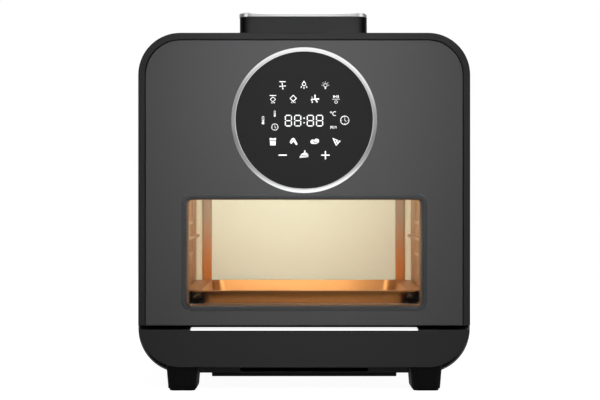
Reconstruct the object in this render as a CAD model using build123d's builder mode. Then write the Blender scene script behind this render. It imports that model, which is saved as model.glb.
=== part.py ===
from build123d import *
import math
import os

# Steam air fryer: an upright counter-top oven with a drop-down front door, a lift-out water
# tank at the rear and a drip tray below. Millimetres, +X right, +Y to the back, +Z up.
# The origin lies on the floor, midway between the door's face and the rear spacers.

# Overall sizes
front_w = 332.0
front_corner_r = 42.0
body_depth = 346.0
casing_overlap = 3.0
casing_h = 346.0
casing_corner_r = 45.0
casing_wall = 1.5
foot_h = 15.0
rear_spacer_h = 5.0
cover_t = 2.0
sheet_t = 1.5
fit_gap = 0.3
slide_gap = 0.5
shaft_fit = 0.05

# Front: trim, shadow gap and door
trim_rise = 9.2
trim_h = 37.3
trim_wall = 2.5
door_gap = 4.5
door_top_drop = 2.5
door_t = 28.0
door_air = 2.0
door_border = 6.5
door_rail_h = 13.0
hinge_block_w = 34.0
hinge_block_h = 26.0
panel_recess = 1.0
panel_t = 3.0
inner_panel_t = 2.0

# Door window and display
glass_side = 48.0
glass_bottom = 19.0
glass_corner_r = 5.0
bezel_w = 4.8
bezel_corner_r = 9.0
bezel_depth = 12.0
glass_seat = 1.0
outer_glass_t = 4.0
outer_glass_recess = 1.2
inner_glass_t = 4.0
display_down = 87.3
display_r = 72.9
window_gap = 1.0
ring_w = 4.3
ring_depth = 8.0
lens_t = 3.0
board_t = 1.6
board_r = 58.0
board_back = 9.0
post_r = 3.0
digit_block_w = 60.0
digit_block_h = 24.0

# Door hinge
hinge_in = 9.0
hinge_up = 8.0
hinge_side = 16.0
hinge_plate_t = 8.0
hinge_eye_r = 4.5
hinge_pin_r = 2.0
hinge_pin_l = 20.0
notch_side_gap = 0.8
notch_gap = 0.5

# Door pull, seal, magnet and sensor
scoop_w = 110.0
scoop_depth = 14.0
scoop_h = 11.0
seal_w = 4.0
magnet_size = 8.0
magnet_side = 46.0
sensor_l = 16.0

# Gutter on the trim's top
gutter_side = 51.0
gutter_taper = 1.2
gutter_t = 0.6

# Cavity
cavity_side = 40.0
cavity_headroom = 78.0
rear_space = 73.0
cavity_floor_up = 14.0
cavity_corner_r = 12.0
liner_t = 1.0
rail_h = 3.0
rail_reach = 5.0
rail_back = 18.0
rail_front = 18.0
rail_low = 15.0
rail_pitch = 55.0
rail_count = 3
shaft_hole_gap = 1.0

# Baking tray
tray_front = 20.0
tray_back = 11.0
tray_h = 13.0
tray_wall = 1.2
tray_side = 18.0
tray_corner_r = 14.0

# Heater, fan and motor
can_r = 98.0
can_h = 24.0
guard_r = 88.0
guard_t = 1.5
guard_first_r = 24.0
guard_pitch = 16.0
guard_count = 4
guard_slot_w = 6.0
guard_spokes = 8
guard_spoke_w = 5.0
heater_r = 80.0
heater_tube_r = 3.2
heater_sleeve_r = 4.0
heater_lift = 4.5
heater_leg_turn = 8.0
fan_r = 62.0
fan_h = 12.0
fan_lift = 6.0
fan_blades = 8
fan_hub_r = 9.0
fan_disc_t = 1.5
fan_blade_t = 1.6
shaft_r = 3.0
motor_r = 30.0
motor_h = 24.0
motor_lift = 6.0
motor_leg_r = 4.0
cool_fan_r = 42.0
cool_fan_h = 9.0
cool_fan_gap = 3.0
bearing_r = 7.0
bearing_h = 4.0
rotor_gap = 1.0

# Lamp and probe
lamp_y = -20.0
lamp_drop = 40.0
lamp_r = 16.0
lamp_glass_t = 4.0
lamp_can_l = 26.0
bulb_r = 8.0
bulb_l = 18.0
probe_r = 2.2
probe_l = 30.0
probe_drop = 18.0
cutout_r = 9.0
cutout_h = 8.0

# Water tank and dock
tank_w = 152.0
tank_d = 56.0
tank_corner_r = 15.0
tank_wall = 2.0
tank_h = 263.0
tank_rise = 47.5
tank_lid_t = 5.0
tank_lid_over = 0.6
tank_back_gap = 3.0
dock_gap = 1.0
dock_wall = 1.5
dock_flange = 5.0
outlet_r = 6.0
outlet_l = 6.0
outlet_bore_r = 2.5
nipple_l = 10.0
lid_pin_r = 1.5
lid_barrel_r = 3.5
lid_knuckle_l = 30.0

# Steam system
pump_r = 20.0
pump_h = 74.0
nipple_r = 3.0
hose_wall = 1.5
steam_gap = 19.5
steam_y_back = 27.0
boiler_w = 52.0
boiler_d = 44.0
boiler_h = 96.0
boiler_foot_h = 6.0
steam_pipe_r = 3.5
steam_pipe_bend = 12.0
nozzle_r = 6.0
nozzle_flange_r = 9.0
nozzle_drop = 45.0

# Power board, gland and vents
power_h = 130.0
power_gap = 2.0
power_side_gap = 5.0
power_z = 130.0
standoff_l = 5.0
gland_r = 9.0
gland_bore_r = 4.2
gland_l = 5.0
gland_side = 49.0
gland_z = 45.0
vent_w = 40.0
vent_h = 4.0
vent_pitch = 9.0
vent_count = 9
vent_side = 51.0
vent_drop = 71.0
screw_r = 2.0
screw_head_r = 3.5
screw_head_h = 2.0
screw_l = 8.0
boss_web_t = 2.5

# Base and drip tray
base_lap = 14.0
channel_side = 18.0
channel_h = 11.0
channel_back_gap = 83.0
drip_face_side = 1.0
drip_face_h = 6.2
drip_face_t = 3.0
drip_face_back = 8.0
drip_pan_side = 13.0
drip_pan_back = 28.5
drip_wall = 1.2
drip_slot_w = 129.0
drip_slot_h = 4.0
drip_rail_w = 5.0
drip_rail_h = 2.0

# Feet
foot_top = 32.5
foot_bottom = 28.5
foot_corner_r = 7.0
foot_channel_gap = 0.3
foot_in = 2.0
foot_lap = 28.0
foot_back = 50.0
pad_t = 2.0
pad_inset = 3.0

# Levels and planes worked out from the sizes above
front_y = -body_depth / 2
back_y = body_depth / 2
trim_z = foot_h + trim_rise
ledge_z = trim_z + trim_h
door_z = ledge_z + door_gap
casing_top = foot_h + casing_h
door_top = casing_top - door_top_drop
door_h = door_top - door_z
door_back = front_y + door_t
body_y = door_back + door_air
casing_w = front_w + 2 * casing_overlap
casing_inner_w = casing_w - 2 * casing_wall
casing_inner_r = casing_corner_r - casing_wall
cover_y = back_y - rear_spacer_h - cover_t
front_h = door_top - trim_z
front_mid = (door_top + trim_z) / 2
casing_mid = foot_h + casing_h / 2
frame_back = body_y + sheet_t
cavity_z = door_z + cavity_floor_up
cavity_top = casing_top - cavity_headroom
cavity_h = cavity_top - cavity_z
cavity_w = front_w - 2 * cavity_side
cavity_mid = (cavity_z + cavity_top) / 2
cavity_back = cover_y - rear_space
cavity_depth = cavity_back - body_y
liner_back = cavity_back + liner_t
liner_top = cavity_top + liner_t
cavity_y = (body_y + cavity_back) / 2
panel_y = front_y + panel_recess
panel_back = panel_y + panel_t
panel_w = front_w - 2 * door_border
panel_corner_r = front_corner_r - door_border
glass_w = front_w - 2 * glass_side
display_z = door_top - display_down
glass_z = door_z + glass_bottom
glass_top = display_z - display_r - window_gap - bezel_w
glass_h = glass_top - glass_z
glass_mid = (glass_z + glass_top) / 2
glass_y = front_y + outer_glass_recess
hinge_x = front_w / 2 - hinge_side
hinge_y = front_y + hinge_in
hinge_z = door_z + hinge_up
inner_panel_y = door_back - inner_panel_t
magnet_x = front_w / 2 - magnet_side
gutter_w = front_w - 2 * gutter_side
tray_body_w = cavity_w - 2 * tray_side
tray_l = cavity_depth - tray_front - tray_back
rail_l = cavity_depth - rail_front - rail_back
rail_levels = [rail_low + rail_pitch * i for i in range(rail_count)]
guard_rings = [guard_first_r + guard_pitch * i for i in range(guard_count)]
vent_x = casing_w / 2 - vent_side
vent_z = casing_top - vent_drop
gland_x = casing_w / 2 - gland_side
dock_w = tank_w + 2 * dock_gap + 2 * dock_wall
dock_d = tank_d + 2 * dock_gap + 2 * dock_wall
dock_back = cover_y - tank_back_gap
dock_y = dock_back - dock_d / 2
steam_x = dock_w / 2 + steam_gap
screw_x = casing_inner_w / 2 - casing_inner_r / 2
boss_w = 3 * screw_head_r
power_w = screw_x - boss_w / 2 - power_side_gap - dock_w / 2 - power_gap
power_x = dock_w / 2 + power_gap + power_w / 2
base_open_w = casing_w - 2 * casing_corner_r
channel_w = base_open_w - 2 * channel_side
foot_x = channel_w / 2 + foot_channel_gap + foot_top / 2
channel_back = cover_y - channel_back_gap
drip_face_w = channel_w - 2 * drip_face_side
drip_pan_w = channel_w - 2 * drip_pan_side
scoop_y = door_back - scoop_depth


def face_plane(y):
    """A sketch plane facing the front at depth y, with +X right and +Z up."""
    return Plane.XZ.offset(-y)


def save(builder, label):
    """Label a finished piece and write it under its own name."""
    builder.part.label = label
    export_step(builder.part, "parts/" + label + ".step")


os.makedirs("parts", exist_ok=True)


# Outer casing: one wrapped sheet, open in front, behind and under the base
with BuildPart() as outer_casing:
    with BuildSketch(face_plane(body_y)):
        with Locations((0, casing_mid)):
            RectangleRounded(casing_w, casing_h, casing_corner_r)
            RectangleRounded(casing_inner_w, casing_h - 2 * casing_wall, casing_inner_r, mode=Mode.SUBTRACT)
        with Locations((0, foot_h)):
            Rectangle(base_open_w, 4 * casing_wall, mode=Mode.SUBTRACT)
    extrude(amount=-(cover_y - body_y))
    with BuildSketch(Plane.XY.offset(casing_top)):
        with Locations((0, dock_y)):
            RectangleRounded(dock_w + 2 * fit_gap, dock_d + 2 * fit_gap, tank_corner_r)
    extrude(amount=-2 * casing_wall, mode=Mode.SUBTRACT)
save(outer_casing, "outer_casing")

# Front frame: the sheet between casing and cavity that the door closes against
with BuildPart() as front_frame:
    with BuildSketch(face_plane(body_y)):
        with Locations((0, casing_mid)):
            RectangleRounded(casing_inner_w, casing_h - 2 * casing_wall, casing_inner_r)
        with Locations((0, cavity_mid)):
            Rectangle(cavity_w + 2 * liner_t, cavity_h + 2 * liner_t, mode=Mode.SUBTRACT)
        with Locations((0, foot_h)):
            Rectangle(channel_w, 2 * channel_h, mode=Mode.SUBTRACT)
    extrude(amount=-sheet_t)
save(front_frame, "front_frame")

# Base pan: lies on the casing's turned-in edges, with a raised channel for the drip tray
base_z = foot_h + casing_wall
base_w = base_open_w + 2 * base_lap
base_l = cover_y - frame_back
with BuildPart() as base_pan:
    with BuildSketch(Plane.XY.offset(base_z)):
        with Locations((0, (frame_back + cover_y) / 2)):
            Rectangle(base_w, base_l)
    extrude(amount=sheet_t)
    with BuildSketch(Plane.XY.offset(base_z)):
        with Locations((0, (frame_back + channel_back) / 2)):
            Rectangle(channel_w + 2 * sheet_t, channel_back - frame_back)
    extrude(amount=channel_h + sheet_t)
    with BuildSketch(Plane.XY.offset(base_z)):
        with Locations((0, (frame_back + channel_back - sheet_t) / 2)):
            Rectangle(channel_w, channel_back - sheet_t - frame_back)
    extrude(amount=channel_h, mode=Mode.SUBTRACT)
    rail_y = (frame_back + channel_back - sheet_t) / 2
    with Locations((0, rail_y, base_z + drip_rail_h / 2)):
        with GridLocations(channel_w - drip_rail_w, 1, 2, 1):
            Box(drip_rail_w, channel_back - sheet_t - frame_back, drip_rail_h)
    with BuildSketch(face_plane(body_y)):
        with Locations((0, casing_mid)):
            RectangleRounded(casing_inner_w, casing_h - 2 * casing_wall, casing_inner_r)
    extrude(amount=-(cover_y - body_y), mode=Mode.INTERSECT)
save(base_pan, "base_pan")

# Rear cover with vents, spacers and screw holes
cover_screws = [
    (sx * screw_x, z)
    for sx in (-1, 1)
    for z in (foot_h + casing_inner_r, casing_mid, casing_top - casing_inner_r)
]
with BuildPart() as rear_cover:
    with BuildSketch(face_plane(cover_y)):
        with Locations((0, casing_mid)):
            RectangleRounded(casing_w, casing_h, casing_corner_r)
    extrude(amount=-cover_t)
    with BuildSketch(face_plane(cover_y)):
        for side in (-1, 1):
            with Locations((side * vent_x, vent_z)):
                with GridLocations(1, vent_pitch, 1, vent_count):
                    SlotOverall(vent_w, vent_h)
        with Locations((gland_x, gland_z)):
            Circle(gland_r + shaft_fit)
        with Locations(*cover_screws):
            Circle(screw_r + shaft_fit)
    extrude(amount=-cover_t, mode=Mode.SUBTRACT)
    with BuildSketch(face_plane(cover_y + cover_t)):
        with Locations((0, casing_mid)):
            with GridLocations(tank_w, casing_h / 2, 2, 2):
                Circle(gland_r)
    extrude(amount=-rear_spacer_h, taper=8)
save(rear_cover, "rear_cover")

# Screw bosses: blocks inside the casing that take the rear cover's screws
with BuildPart() as cover_bosses:
    with BuildSketch(face_plane(cover_y)):
        with Locations(*cover_screws):
            Rectangle(boss_w, boss_w)
    extrude(amount=boss_w)
    with BuildSketch(face_plane(cover_y)):
        for x, z in cover_screws:
            side = math.copysign(1, x)
            reach = casing_inner_w / 2 - abs(x)
            with Locations((x + side * reach / 2, z)):
                Rectangle(reach, boss_w)
    extrude(amount=boss_web_t)
    with BuildSketch(face_plane(cover_y)):
        with Locations((0, casing_mid)):
            RectangleRounded(casing_inner_w, casing_h - 2 * casing_wall, casing_inner_r)
    extrude(amount=boss_w, mode=Mode.INTERSECT)
    with BuildSketch(face_plane(cover_y)):
        with Locations(*cover_screws):
            Circle(screw_r + shaft_fit)
    extrude(amount=screw_l, mode=Mode.SUBTRACT)
save(cover_bosses, "cover_bosses")

with BuildPart() as rear_screws:
    with BuildSketch(face_plane(cover_y + cover_t)):
        with Locations(*cover_screws):
            Circle(screw_head_r)
    extrude(amount=-screw_head_h)
    with BuildSketch(face_plane(cover_y + cover_t)):
        with Locations(*cover_screws):
            Circle(screw_r)
    extrude(amount=cover_t + screw_l - screw_head_h)
save(rear_screws, "rear_screws")

# Front trim: a hollow skirt across the front, its top the ledge under the door
trim_back = body_y
with BuildPart() as front_trim:
    with BuildSketch(face_plane(front_y)):
        with Locations((0, front_mid)):
            RectangleRounded(front_w, front_h, front_corner_r)
        with Locations((0, trim_z + trim_h / 2)):
            Rectangle(front_w, trim_h, mode=Mode.INTERSECT)
    extrude(amount=-(trim_back - front_y))
    with BuildSketch(face_plane(front_y + trim_wall)):
        with Locations((0, front_mid)):
            RectangleRounded(front_w - 2 * trim_wall, front_h - 2 * trim_wall, front_corner_r - trim_wall)
        with Locations((0, trim_z + trim_h / 2)):
            Rectangle(front_w, trim_h - 2 * trim_wall, mode=Mode.INTERSECT)
    extrude(amount=-(trim_back - front_y), mode=Mode.SUBTRACT)
    with BuildSketch(Plane.XY.offset(ledge_z)):
        with Locations((0, (front_y + body_y) / 2)):
            Rectangle(gutter_w, body_y - front_y)
    extrude(amount=-gutter_t, mode=Mode.SUBTRACT)
save(front_trim, "front_trim")

# Condensate gutter: a bright strip let into the ledge, a little wider at the back
with BuildPart() as drip_gutter:
    with BuildSketch(Plane.XY.offset(ledge_z - gutter_t)):
        with BuildLine():
            Polyline(
                (-gutter_w / 2 + gutter_taper, front_y),
                (gutter_w / 2 - gutter_taper, front_y),
                (gutter_w / 2, body_y),
                (-gutter_w / 2, body_y),
                close=True,
            )
        make_face()
    extrude(amount=gutter_t)
save(drip_gutter, "drip_gutter")

# Door frame: the dark border with a rail across its foot, open for the window and display
hinge_notch_w = hinge_plate_t + 2 * notch_side_gap
notch_y = hinge_y - hinge_eye_r - notch_gap
notch_top = hinge_z + hinge_eye_r + notch_gap


def draw_door_opening():
    """The door's hollow: inside the border, above the foot rail, clear of the hinge blocks."""
    with Locations((0, front_mid)):
        RectangleRounded(panel_w, front_h - 2 * door_border, panel_corner_r)
    with Locations((0, door_z + door_rail_h + door_h / 2)):
        Rectangle(front_w, door_h, mode=Mode.INTERSECT)
    for side in (-1, 1):
        with Locations((side * (panel_w - hinge_block_w) / 2, door_z + hinge_block_h / 2)):
            Rectangle(hinge_block_w, hinge_block_h, mode=Mode.SUBTRACT)


with BuildPart() as door_frame:
    with BuildSketch(face_plane(front_y)):
        with Locations((0, front_mid)):
            RectangleRounded(front_w, front_h, front_corner_r)
        with Locations((0, door_z + door_h / 2)):
            Rectangle(front_w, door_h, mode=Mode.INTERSECT)
    extrude(amount=-(door_back - front_y))
    with BuildSketch(face_plane(front_y)):
        draw_door_opening()
    extrude(amount=-(door_back - front_y), mode=Mode.SUBTRACT)
    with BuildSketch(face_plane(front_y)):
        with Locations((0, door_z + hinge_block_h / 2)):
            Rectangle(panel_w, hinge_block_h)
    extrude(amount=-(panel_back - front_y), mode=Mode.SUBTRACT)
    with BuildSketch(face_plane(scoop_y - trim_wall)):
        with Locations((0, door_top - door_border / 2 - scoop_h / 2)):
            Rectangle(scoop_w + 2 * trim_wall, door_border + scoop_h)
    extrude(amount=-(door_back - scoop_y + trim_wall))
    with BuildSketch(face_plane(scoop_y)):
        with Locations((0, door_top - scoop_h / 2)):
            Rectangle(scoop_w, scoop_h)
    extrude(amount=-(door_back - scoop_y), mode=Mode.SUBTRACT)
    for side in (-1, 1):
        with BuildSketch(Plane.YZ.offset(side * hinge_x - hinge_notch_w / 2)):
            with Locations(((notch_y + door_back) / 2, (door_z + notch_top) / 2)):
                Rectangle(door_back - notch_y, notch_top - door_z)
        extrude(amount=hinge_notch_w, mode=Mode.SUBTRACT)
        with BuildSketch(Plane.YZ.offset(side * hinge_x - hinge_pin_l / 2)):
            with Locations((hinge_y, hinge_z)):
                Circle(hinge_pin_r)
        extrude(amount=hinge_pin_l, mode=Mode.SUBTRACT)
save(door_frame, "door_frame")

# Door hinge: a pin pressed through the frame, turning in an eye that reaches out of the body
for side, name in ((-1, "left"), (1, "right")):
    with BuildPart() as hinge_pin:
        with BuildSketch(Plane.YZ.offset(side * hinge_x - hinge_pin_l / 2)):
            with Locations((hinge_y, hinge_z)):
                Circle(hinge_pin_r)
        extrude(amount=hinge_pin_l)
    save(hinge_pin, name + "_hinge_pin")
    with BuildPart() as hinge_arm:
        with BuildSketch(Plane.YZ.offset(side * hinge_x - hinge_plate_t / 2)):
            with Locations((hinge_y, hinge_z)):
                Circle(hinge_eye_r)
            with Locations(((hinge_y + body_y) / 2, hinge_z)):
                Rectangle(body_y - hinge_y, 2 * hinge_eye_r)
            with Locations((hinge_y, hinge_z)):
                Circle(hinge_pin_r + shaft_fit, mode=Mode.SUBTRACT)
        extrude(amount=hinge_plate_t)
    save(hinge_arm, name + "_hinge_arm")

# Front panel: the lighter sheet inset in the frame, pierced for display and window
ring_r = display_r
lens_r = display_r - ring_w
bezel_out_w = glass_w + 2 * bezel_w
bezel_out_h = glass_h + 2 * bezel_w
with BuildPart() as door_front_panel:
    with BuildSketch(face_plane(panel_y)):
        with Locations((0, front_mid)):
            panel_h = front_h - 2 * door_border - 2 * fit_gap
            RectangleRounded(panel_w - 2 * fit_gap, panel_h, panel_corner_r - fit_gap)
        with Locations((0, door_z + door_h / 2)):
            Rectangle(front_w, door_h, mode=Mode.INTERSECT)
        with Locations((0, display_z)):
            Circle(ring_r + shaft_fit, mode=Mode.SUBTRACT)
        with Locations((0, glass_mid)):
            RectangleRounded(bezel_out_w, bezel_out_h, bezel_corner_r, mode=Mode.SUBTRACT)
    extrude(amount=-panel_t)
save(door_front_panel, "door_front_panel")

def draw_glass_opening():
    """The clear opening behind each glass, smaller than the glass by its seat."""
    RectangleRounded(
        glass_w - 2 * glass_seat,
        glass_h - 2 * glass_seat,
        glass_corner_r - glass_seat,
        mode=Mode.SUBTRACT,
    )


# Window bezel: a stepped ring in the panel that the outer glass sits in
with BuildPart() as window_bezel:
    with BuildSketch(face_plane(panel_y)):
        with Locations((0, glass_mid)):
            RectangleRounded(bezel_out_w, bezel_out_h, bezel_corner_r)
            RectangleRounded(glass_w, glass_h, glass_corner_r, mode=Mode.SUBTRACT)
    extrude(amount=-bezel_depth)
    with BuildSketch(face_plane(glass_y + outer_glass_t)):
        with Locations((0, glass_mid)):
            RectangleRounded(glass_w, glass_h, glass_corner_r)
            draw_glass_opening()
    extrude(amount=-(panel_y + bezel_depth - glass_y - outer_glass_t))
save(window_bezel, "window_bezel")

with BuildPart() as outer_glass:
    with BuildSketch(face_plane(glass_y)):
        with Locations((0, glass_mid)):
            RectangleRounded(glass_w, glass_h, glass_corner_r)
    extrude(amount=-outer_glass_t)
save(outer_glass, "outer_glass")

# Inner panel: closes the door's back, with the inner glass held in front of it
with BuildPart() as door_inner_panel:
    with BuildSketch(face_plane(inner_panel_y)):
        draw_door_opening()
        with Locations((0, door_top - door_border - scoop_h / 2)):
            Rectangle(scoop_w + 2 * trim_wall, scoop_h, mode=Mode.SUBTRACT)
        with Locations((0, glass_mid)):
            draw_glass_opening()
    extrude(amount=-inner_panel_t)
save(door_inner_panel, "door_inner_panel")

inner_glass_y = inner_panel_y - inner_glass_t
with BuildPart() as inner_glass:
    with BuildSketch(face_plane(inner_glass_y)):
        with Locations((0, glass_mid)):
            RectangleRounded(glass_w, glass_h, glass_corner_r)
    extrude(amount=-inner_glass_t)
save(inner_glass, "inner_glass")

# Window tunnel: the sleeve between the two glasses, which also ties panel to panel
tunnel_y = panel_y + bezel_depth
with BuildPart() as window_tunnel:
    with BuildSketch(face_plane(tunnel_y)):
        with Locations((0, glass_mid)):
            RectangleRounded(glass_w, glass_h, glass_corner_r)
            draw_glass_opening()
    extrude(amount=-(inner_glass_y - tunnel_y))
save(window_tunnel, "window_tunnel")

# Door seal: a soft ring on the door's back that stops just short of the front frame
seal_t = door_air - fit_gap
seal_in_w = cavity_w + 2 * liner_t
seal_in_h = cavity_h + 2 * liner_t
with BuildPart() as door_seal:
    with BuildSketch(face_plane(door_back)):
        with Locations((0, cavity_mid)):
            RectangleRounded(seal_in_w + 2 * seal_w, seal_in_h + 2 * seal_w, cavity_corner_r)
            RectangleRounded(seal_in_w, seal_in_h, cavity_corner_r - seal_w, mode=Mode.SUBTRACT)
    extrude(amount=-seal_t)
save(door_seal, "door_seal")

# Door magnet on the inner panel, read by a sensor behind the front frame
magnet_z = door_top - door_border - magnet_size
with BuildPart() as door_magnet:
    with BuildSketch(face_plane(inner_panel_y)):
        with Locations((magnet_x, magnet_z - front_corner_r / 2)):
            Rectangle(magnet_size, magnet_size)
    extrude(amount=magnet_size / 2)
save(door_magnet, "door_magnet")

with BuildPart() as door_sensor:
    with BuildSketch(face_plane(frame_back)):
        with Locations((magnet_x, magnet_z - front_corner_r / 2)):
            Rectangle(sensor_l, magnet_size)
    extrude(amount=-magnet_size)
save(door_sensor, "door_sensor")

# Display: bright ring, dark lens, its board on posts and a digit block behind the lens
ring_y = front_y
lens_y = ring_y + panel_recess
with BuildPart() as display_ring:
    with BuildSketch(face_plane(ring_y)):
        with Locations((0, display_z)):
            Circle(ring_r)
            Circle(lens_r, mode=Mode.SUBTRACT)
    extrude(amount=-ring_depth)
    with BuildSketch(face_plane(lens_y + lens_t)):
        with Locations((0, display_z)):
            Circle(ring_r)
            Circle(lens_r - ring_w, mode=Mode.SUBTRACT)
    extrude(amount=-(ring_depth - panel_recess - lens_t))
save(display_ring, "display_ring")

with BuildPart() as display_lens:
    with BuildSketch(face_plane(lens_y)):
        with Locations((0, display_z)):
            Circle(lens_r)
    extrude(amount=-lens_t)
save(display_lens, "display_lens")

board_y = lens_y + lens_t + board_back
with BuildPart() as display_board:
    with BuildSketch(face_plane(board_y)):
        with Locations((0, display_z)):
            Circle(board_r)
    extrude(amount=-board_t)
    with BuildSketch(face_plane(lens_y + lens_t)):
        with Locations((0, display_z)):
            with PolarLocations(board_r - 2 * post_r, 4, start_angle=45):
                Circle(post_r)
    extrude(amount=-board_back)
save(display_board, "display_board")

with BuildPart() as digit_block:
    with BuildSketch(face_plane(lens_y + lens_t)):
        with Locations((0, display_z)):
            Rectangle(digit_block_w, digit_block_h)
    extrude(amount=-board_back)
save(digit_block, "digit_block")

# Cavity liner: a folded box open to the front, holed for the heater, lamp, probe and steam
lamp_z = cavity_top - lamp_drop
probe_z = cavity_top - probe_drop
nozzle_z = cavity_top - nozzle_drop
probe_y = cavity_y + cavity_depth / 4
with BuildPart() as cavity_liner:
    with BuildSketch(Plane.XY.offset(cavity_z - liner_t)):
        with Locations((0, cavity_y + liner_t / 2)):
            Rectangle(cavity_w + 2 * liner_t, cavity_depth + liner_t)
        rear = vertices().group_by(Axis.Y)[-1]
        fillet(rear, cavity_corner_r + liner_t)
    extrude(amount=cavity_h + 2 * liner_t)
    with BuildSketch(Plane.XY.offset(cavity_z)):
        with Locations((0, cavity_y)):
            Rectangle(cavity_w, cavity_depth)
        rear = vertices().group_by(Axis.Y)[-1]
        fillet(rear, cavity_corner_r)
    extrude(amount=cavity_h, mode=Mode.SUBTRACT)
    with BuildSketch(Plane.XY.offset(cavity_top)):
        with Locations((0, cavity_y)):
            Circle(guard_r)
    extrude(amount=liner_t, mode=Mode.SUBTRACT)
    with BuildSketch(Plane.YZ.offset(cavity_w / 2)):
        with Locations((lamp_y, lamp_z)):
            Circle(lamp_r)
    extrude(amount=liner_t, mode=Mode.SUBTRACT)
    with BuildSketch(Plane.YZ.offset(-cavity_w / 2 - liner_t)):
        with Locations((probe_y, probe_z)):
            Circle(probe_r + shaft_fit)
    extrude(amount=liner_t, mode=Mode.SUBTRACT)
    with BuildSketch(face_plane(cavity_back)):
        with Locations((-steam_x, nozzle_z)):
            Circle(nozzle_r + shaft_fit)
    extrude(amount=-liner_t, mode=Mode.SUBTRACT)
save(cavity_liner, "cavity_liner")

# Rack rails: three ledges on each side wall, tied by a strip
rail_start = body_y + rail_front
for side, name in ((-1, "left"), (1, "right")):
    wall_x = side * cavity_w / 2
    with BuildPart() as rack_rails:
        with BuildSketch(face_plane(rail_start)):
            for level in rail_levels:
                with Locations((wall_x - side * rail_reach / 2, cavity_z + level)):
                    Rectangle(rail_reach, rail_h)
            strip_h = rail_levels[-1] - rail_levels[0]
            with Locations((wall_x - side * liner_t / 2, cavity_z + rail_levels[0] + strip_h / 2)):
                Rectangle(liner_t, strip_h)
        extrude(amount=-rail_l)
    save(rack_rails, name + "_rack_rails")

# Baking tray: a shallow pan whose rim slides on the lowest rails
tray_y = body_y + tray_front + tray_l / 2
tray_rim_z = cavity_z + rail_levels[0] + rail_h / 2 + fit_gap
tray_rim_w = cavity_w - 2 * liner_t - 2 * slide_gap
with BuildPart() as baking_tray:
    with BuildSketch(Plane.XY.offset(tray_rim_z - tray_h)):
        with Locations((0, tray_y)):
            RectangleRounded(tray_body_w - tray_h / 2, tray_l - tray_h / 2, tray_corner_r)
    with BuildSketch(Plane.XY.offset(tray_rim_z)):
        with Locations((0, tray_y)):
            RectangleRounded(tray_body_w, tray_l, tray_corner_r)
    loft()
    with BuildSketch(Plane.XY.offset(tray_rim_z)):
        with Locations((0, tray_y)):
            RectangleRounded(tray_rim_w, tray_l + 2 * rail_reach, tray_corner_r)
    extrude(amount=tray_wall)
    with BuildSketch(Plane.XY.offset(tray_rim_z - tray_h + tray_wall)):
        with Locations((0, tray_y)):
            inner_w = tray_body_w - tray_h / 2 - 2 * tray_wall
            RectangleRounded(inner_w, tray_l - tray_h / 2 - 2 * tray_wall, tray_corner_r - tray_wall)
    with BuildSketch(Plane.XY.offset(tray_rim_z + tray_wall)):
        with Locations((0, tray_y)):
            RectangleRounded(tray_body_w - 2 * tray_wall, tray_l - 2 * tray_wall, tray_corner_r - tray_wall)
    loft(mode=Mode.SUBTRACT)
save(baking_tray, "baking_tray")

# Heater guard: a slotted plate over the hole in the cavity's ceiling
fan_centre = (0, cavity_y)
guard_z = cavity_top - guard_t
with BuildPart() as heater_guard:
    with BuildSketch(Plane.XY.offset(guard_z)):
        with Locations(fan_centre):
            Circle(guard_r + guard_slot_w / 2)
            for ring in guard_rings:
                Circle(ring + guard_slot_w / 2, mode=Mode.SUBTRACT)
                Circle(ring - guard_slot_w / 2)
            with PolarLocations(guard_rings[-1] / 2, guard_spokes):
                Rectangle(guard_rings[-1] + guard_slot_w, guard_spoke_w)
    extrude(amount=guard_t)
save(heater_guard, "heater_guard")

# Fan housing: a flat can on the liner, around heater and fan
can_top = liner_top + can_h
leg_angle = math.radians(heater_leg_turn)
leg_dx = heater_r * math.cos(leg_angle)
leg_dy = heater_r * math.sin(leg_angle)
with BuildPart() as fan_housing:
    with BuildSketch(Plane.XY.offset(liner_top)):
        with Locations(fan_centre):
            Circle(can_r)
    extrude(amount=can_h)
    with BuildSketch(Plane.XY.offset(liner_top)):
        with Locations(fan_centre):
            Circle(can_r - liner_t)
    extrude(amount=can_h - liner_t, mode=Mode.SUBTRACT)
    with BuildSketch(Plane.XY.offset(can_top - liner_t)):
        with Locations(fan_centre):
            Circle(shaft_r + shaft_hole_gap)
        with Locations((leg_dx, cavity_y + leg_dy), (leg_dx, cavity_y - leg_dy)):
            Circle(heater_sleeve_r + shaft_fit)
    extrude(amount=liner_t, mode=Mode.SUBTRACT)
save(fan_housing, "fan_housing")

# Heating element: a ring whose two cold ends rise through the housing's top
heater_z = liner_top + heater_lift + heater_tube_r
ring_start = (math.cos(leg_angle), math.sin(leg_angle), 0)
ring_normal = (math.sin(leg_angle), -math.cos(leg_angle), 0)
with BuildPart() as heating_element:
    with BuildSketch(Plane(origin=(0, cavity_y, 0), x_dir=ring_start, z_dir=ring_normal)):
        with Locations((heater_r, heater_z)):
            Circle(heater_tube_r)
    revolve(axis=Axis((0, cavity_y, 0), (0, 0, 1)), revolution_arc=360 - 2 * heater_leg_turn)
    with BuildSketch(Plane.XY.offset(heater_z - heater_sleeve_r)):
        with Locations((leg_dx, cavity_y + leg_dy), (leg_dx, cavity_y - leg_dy)):
            Circle(heater_sleeve_r)
    extrude(amount=can_top + heater_tube_r - heater_z + heater_sleeve_r)
save(heating_element, "heating_element")

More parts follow.
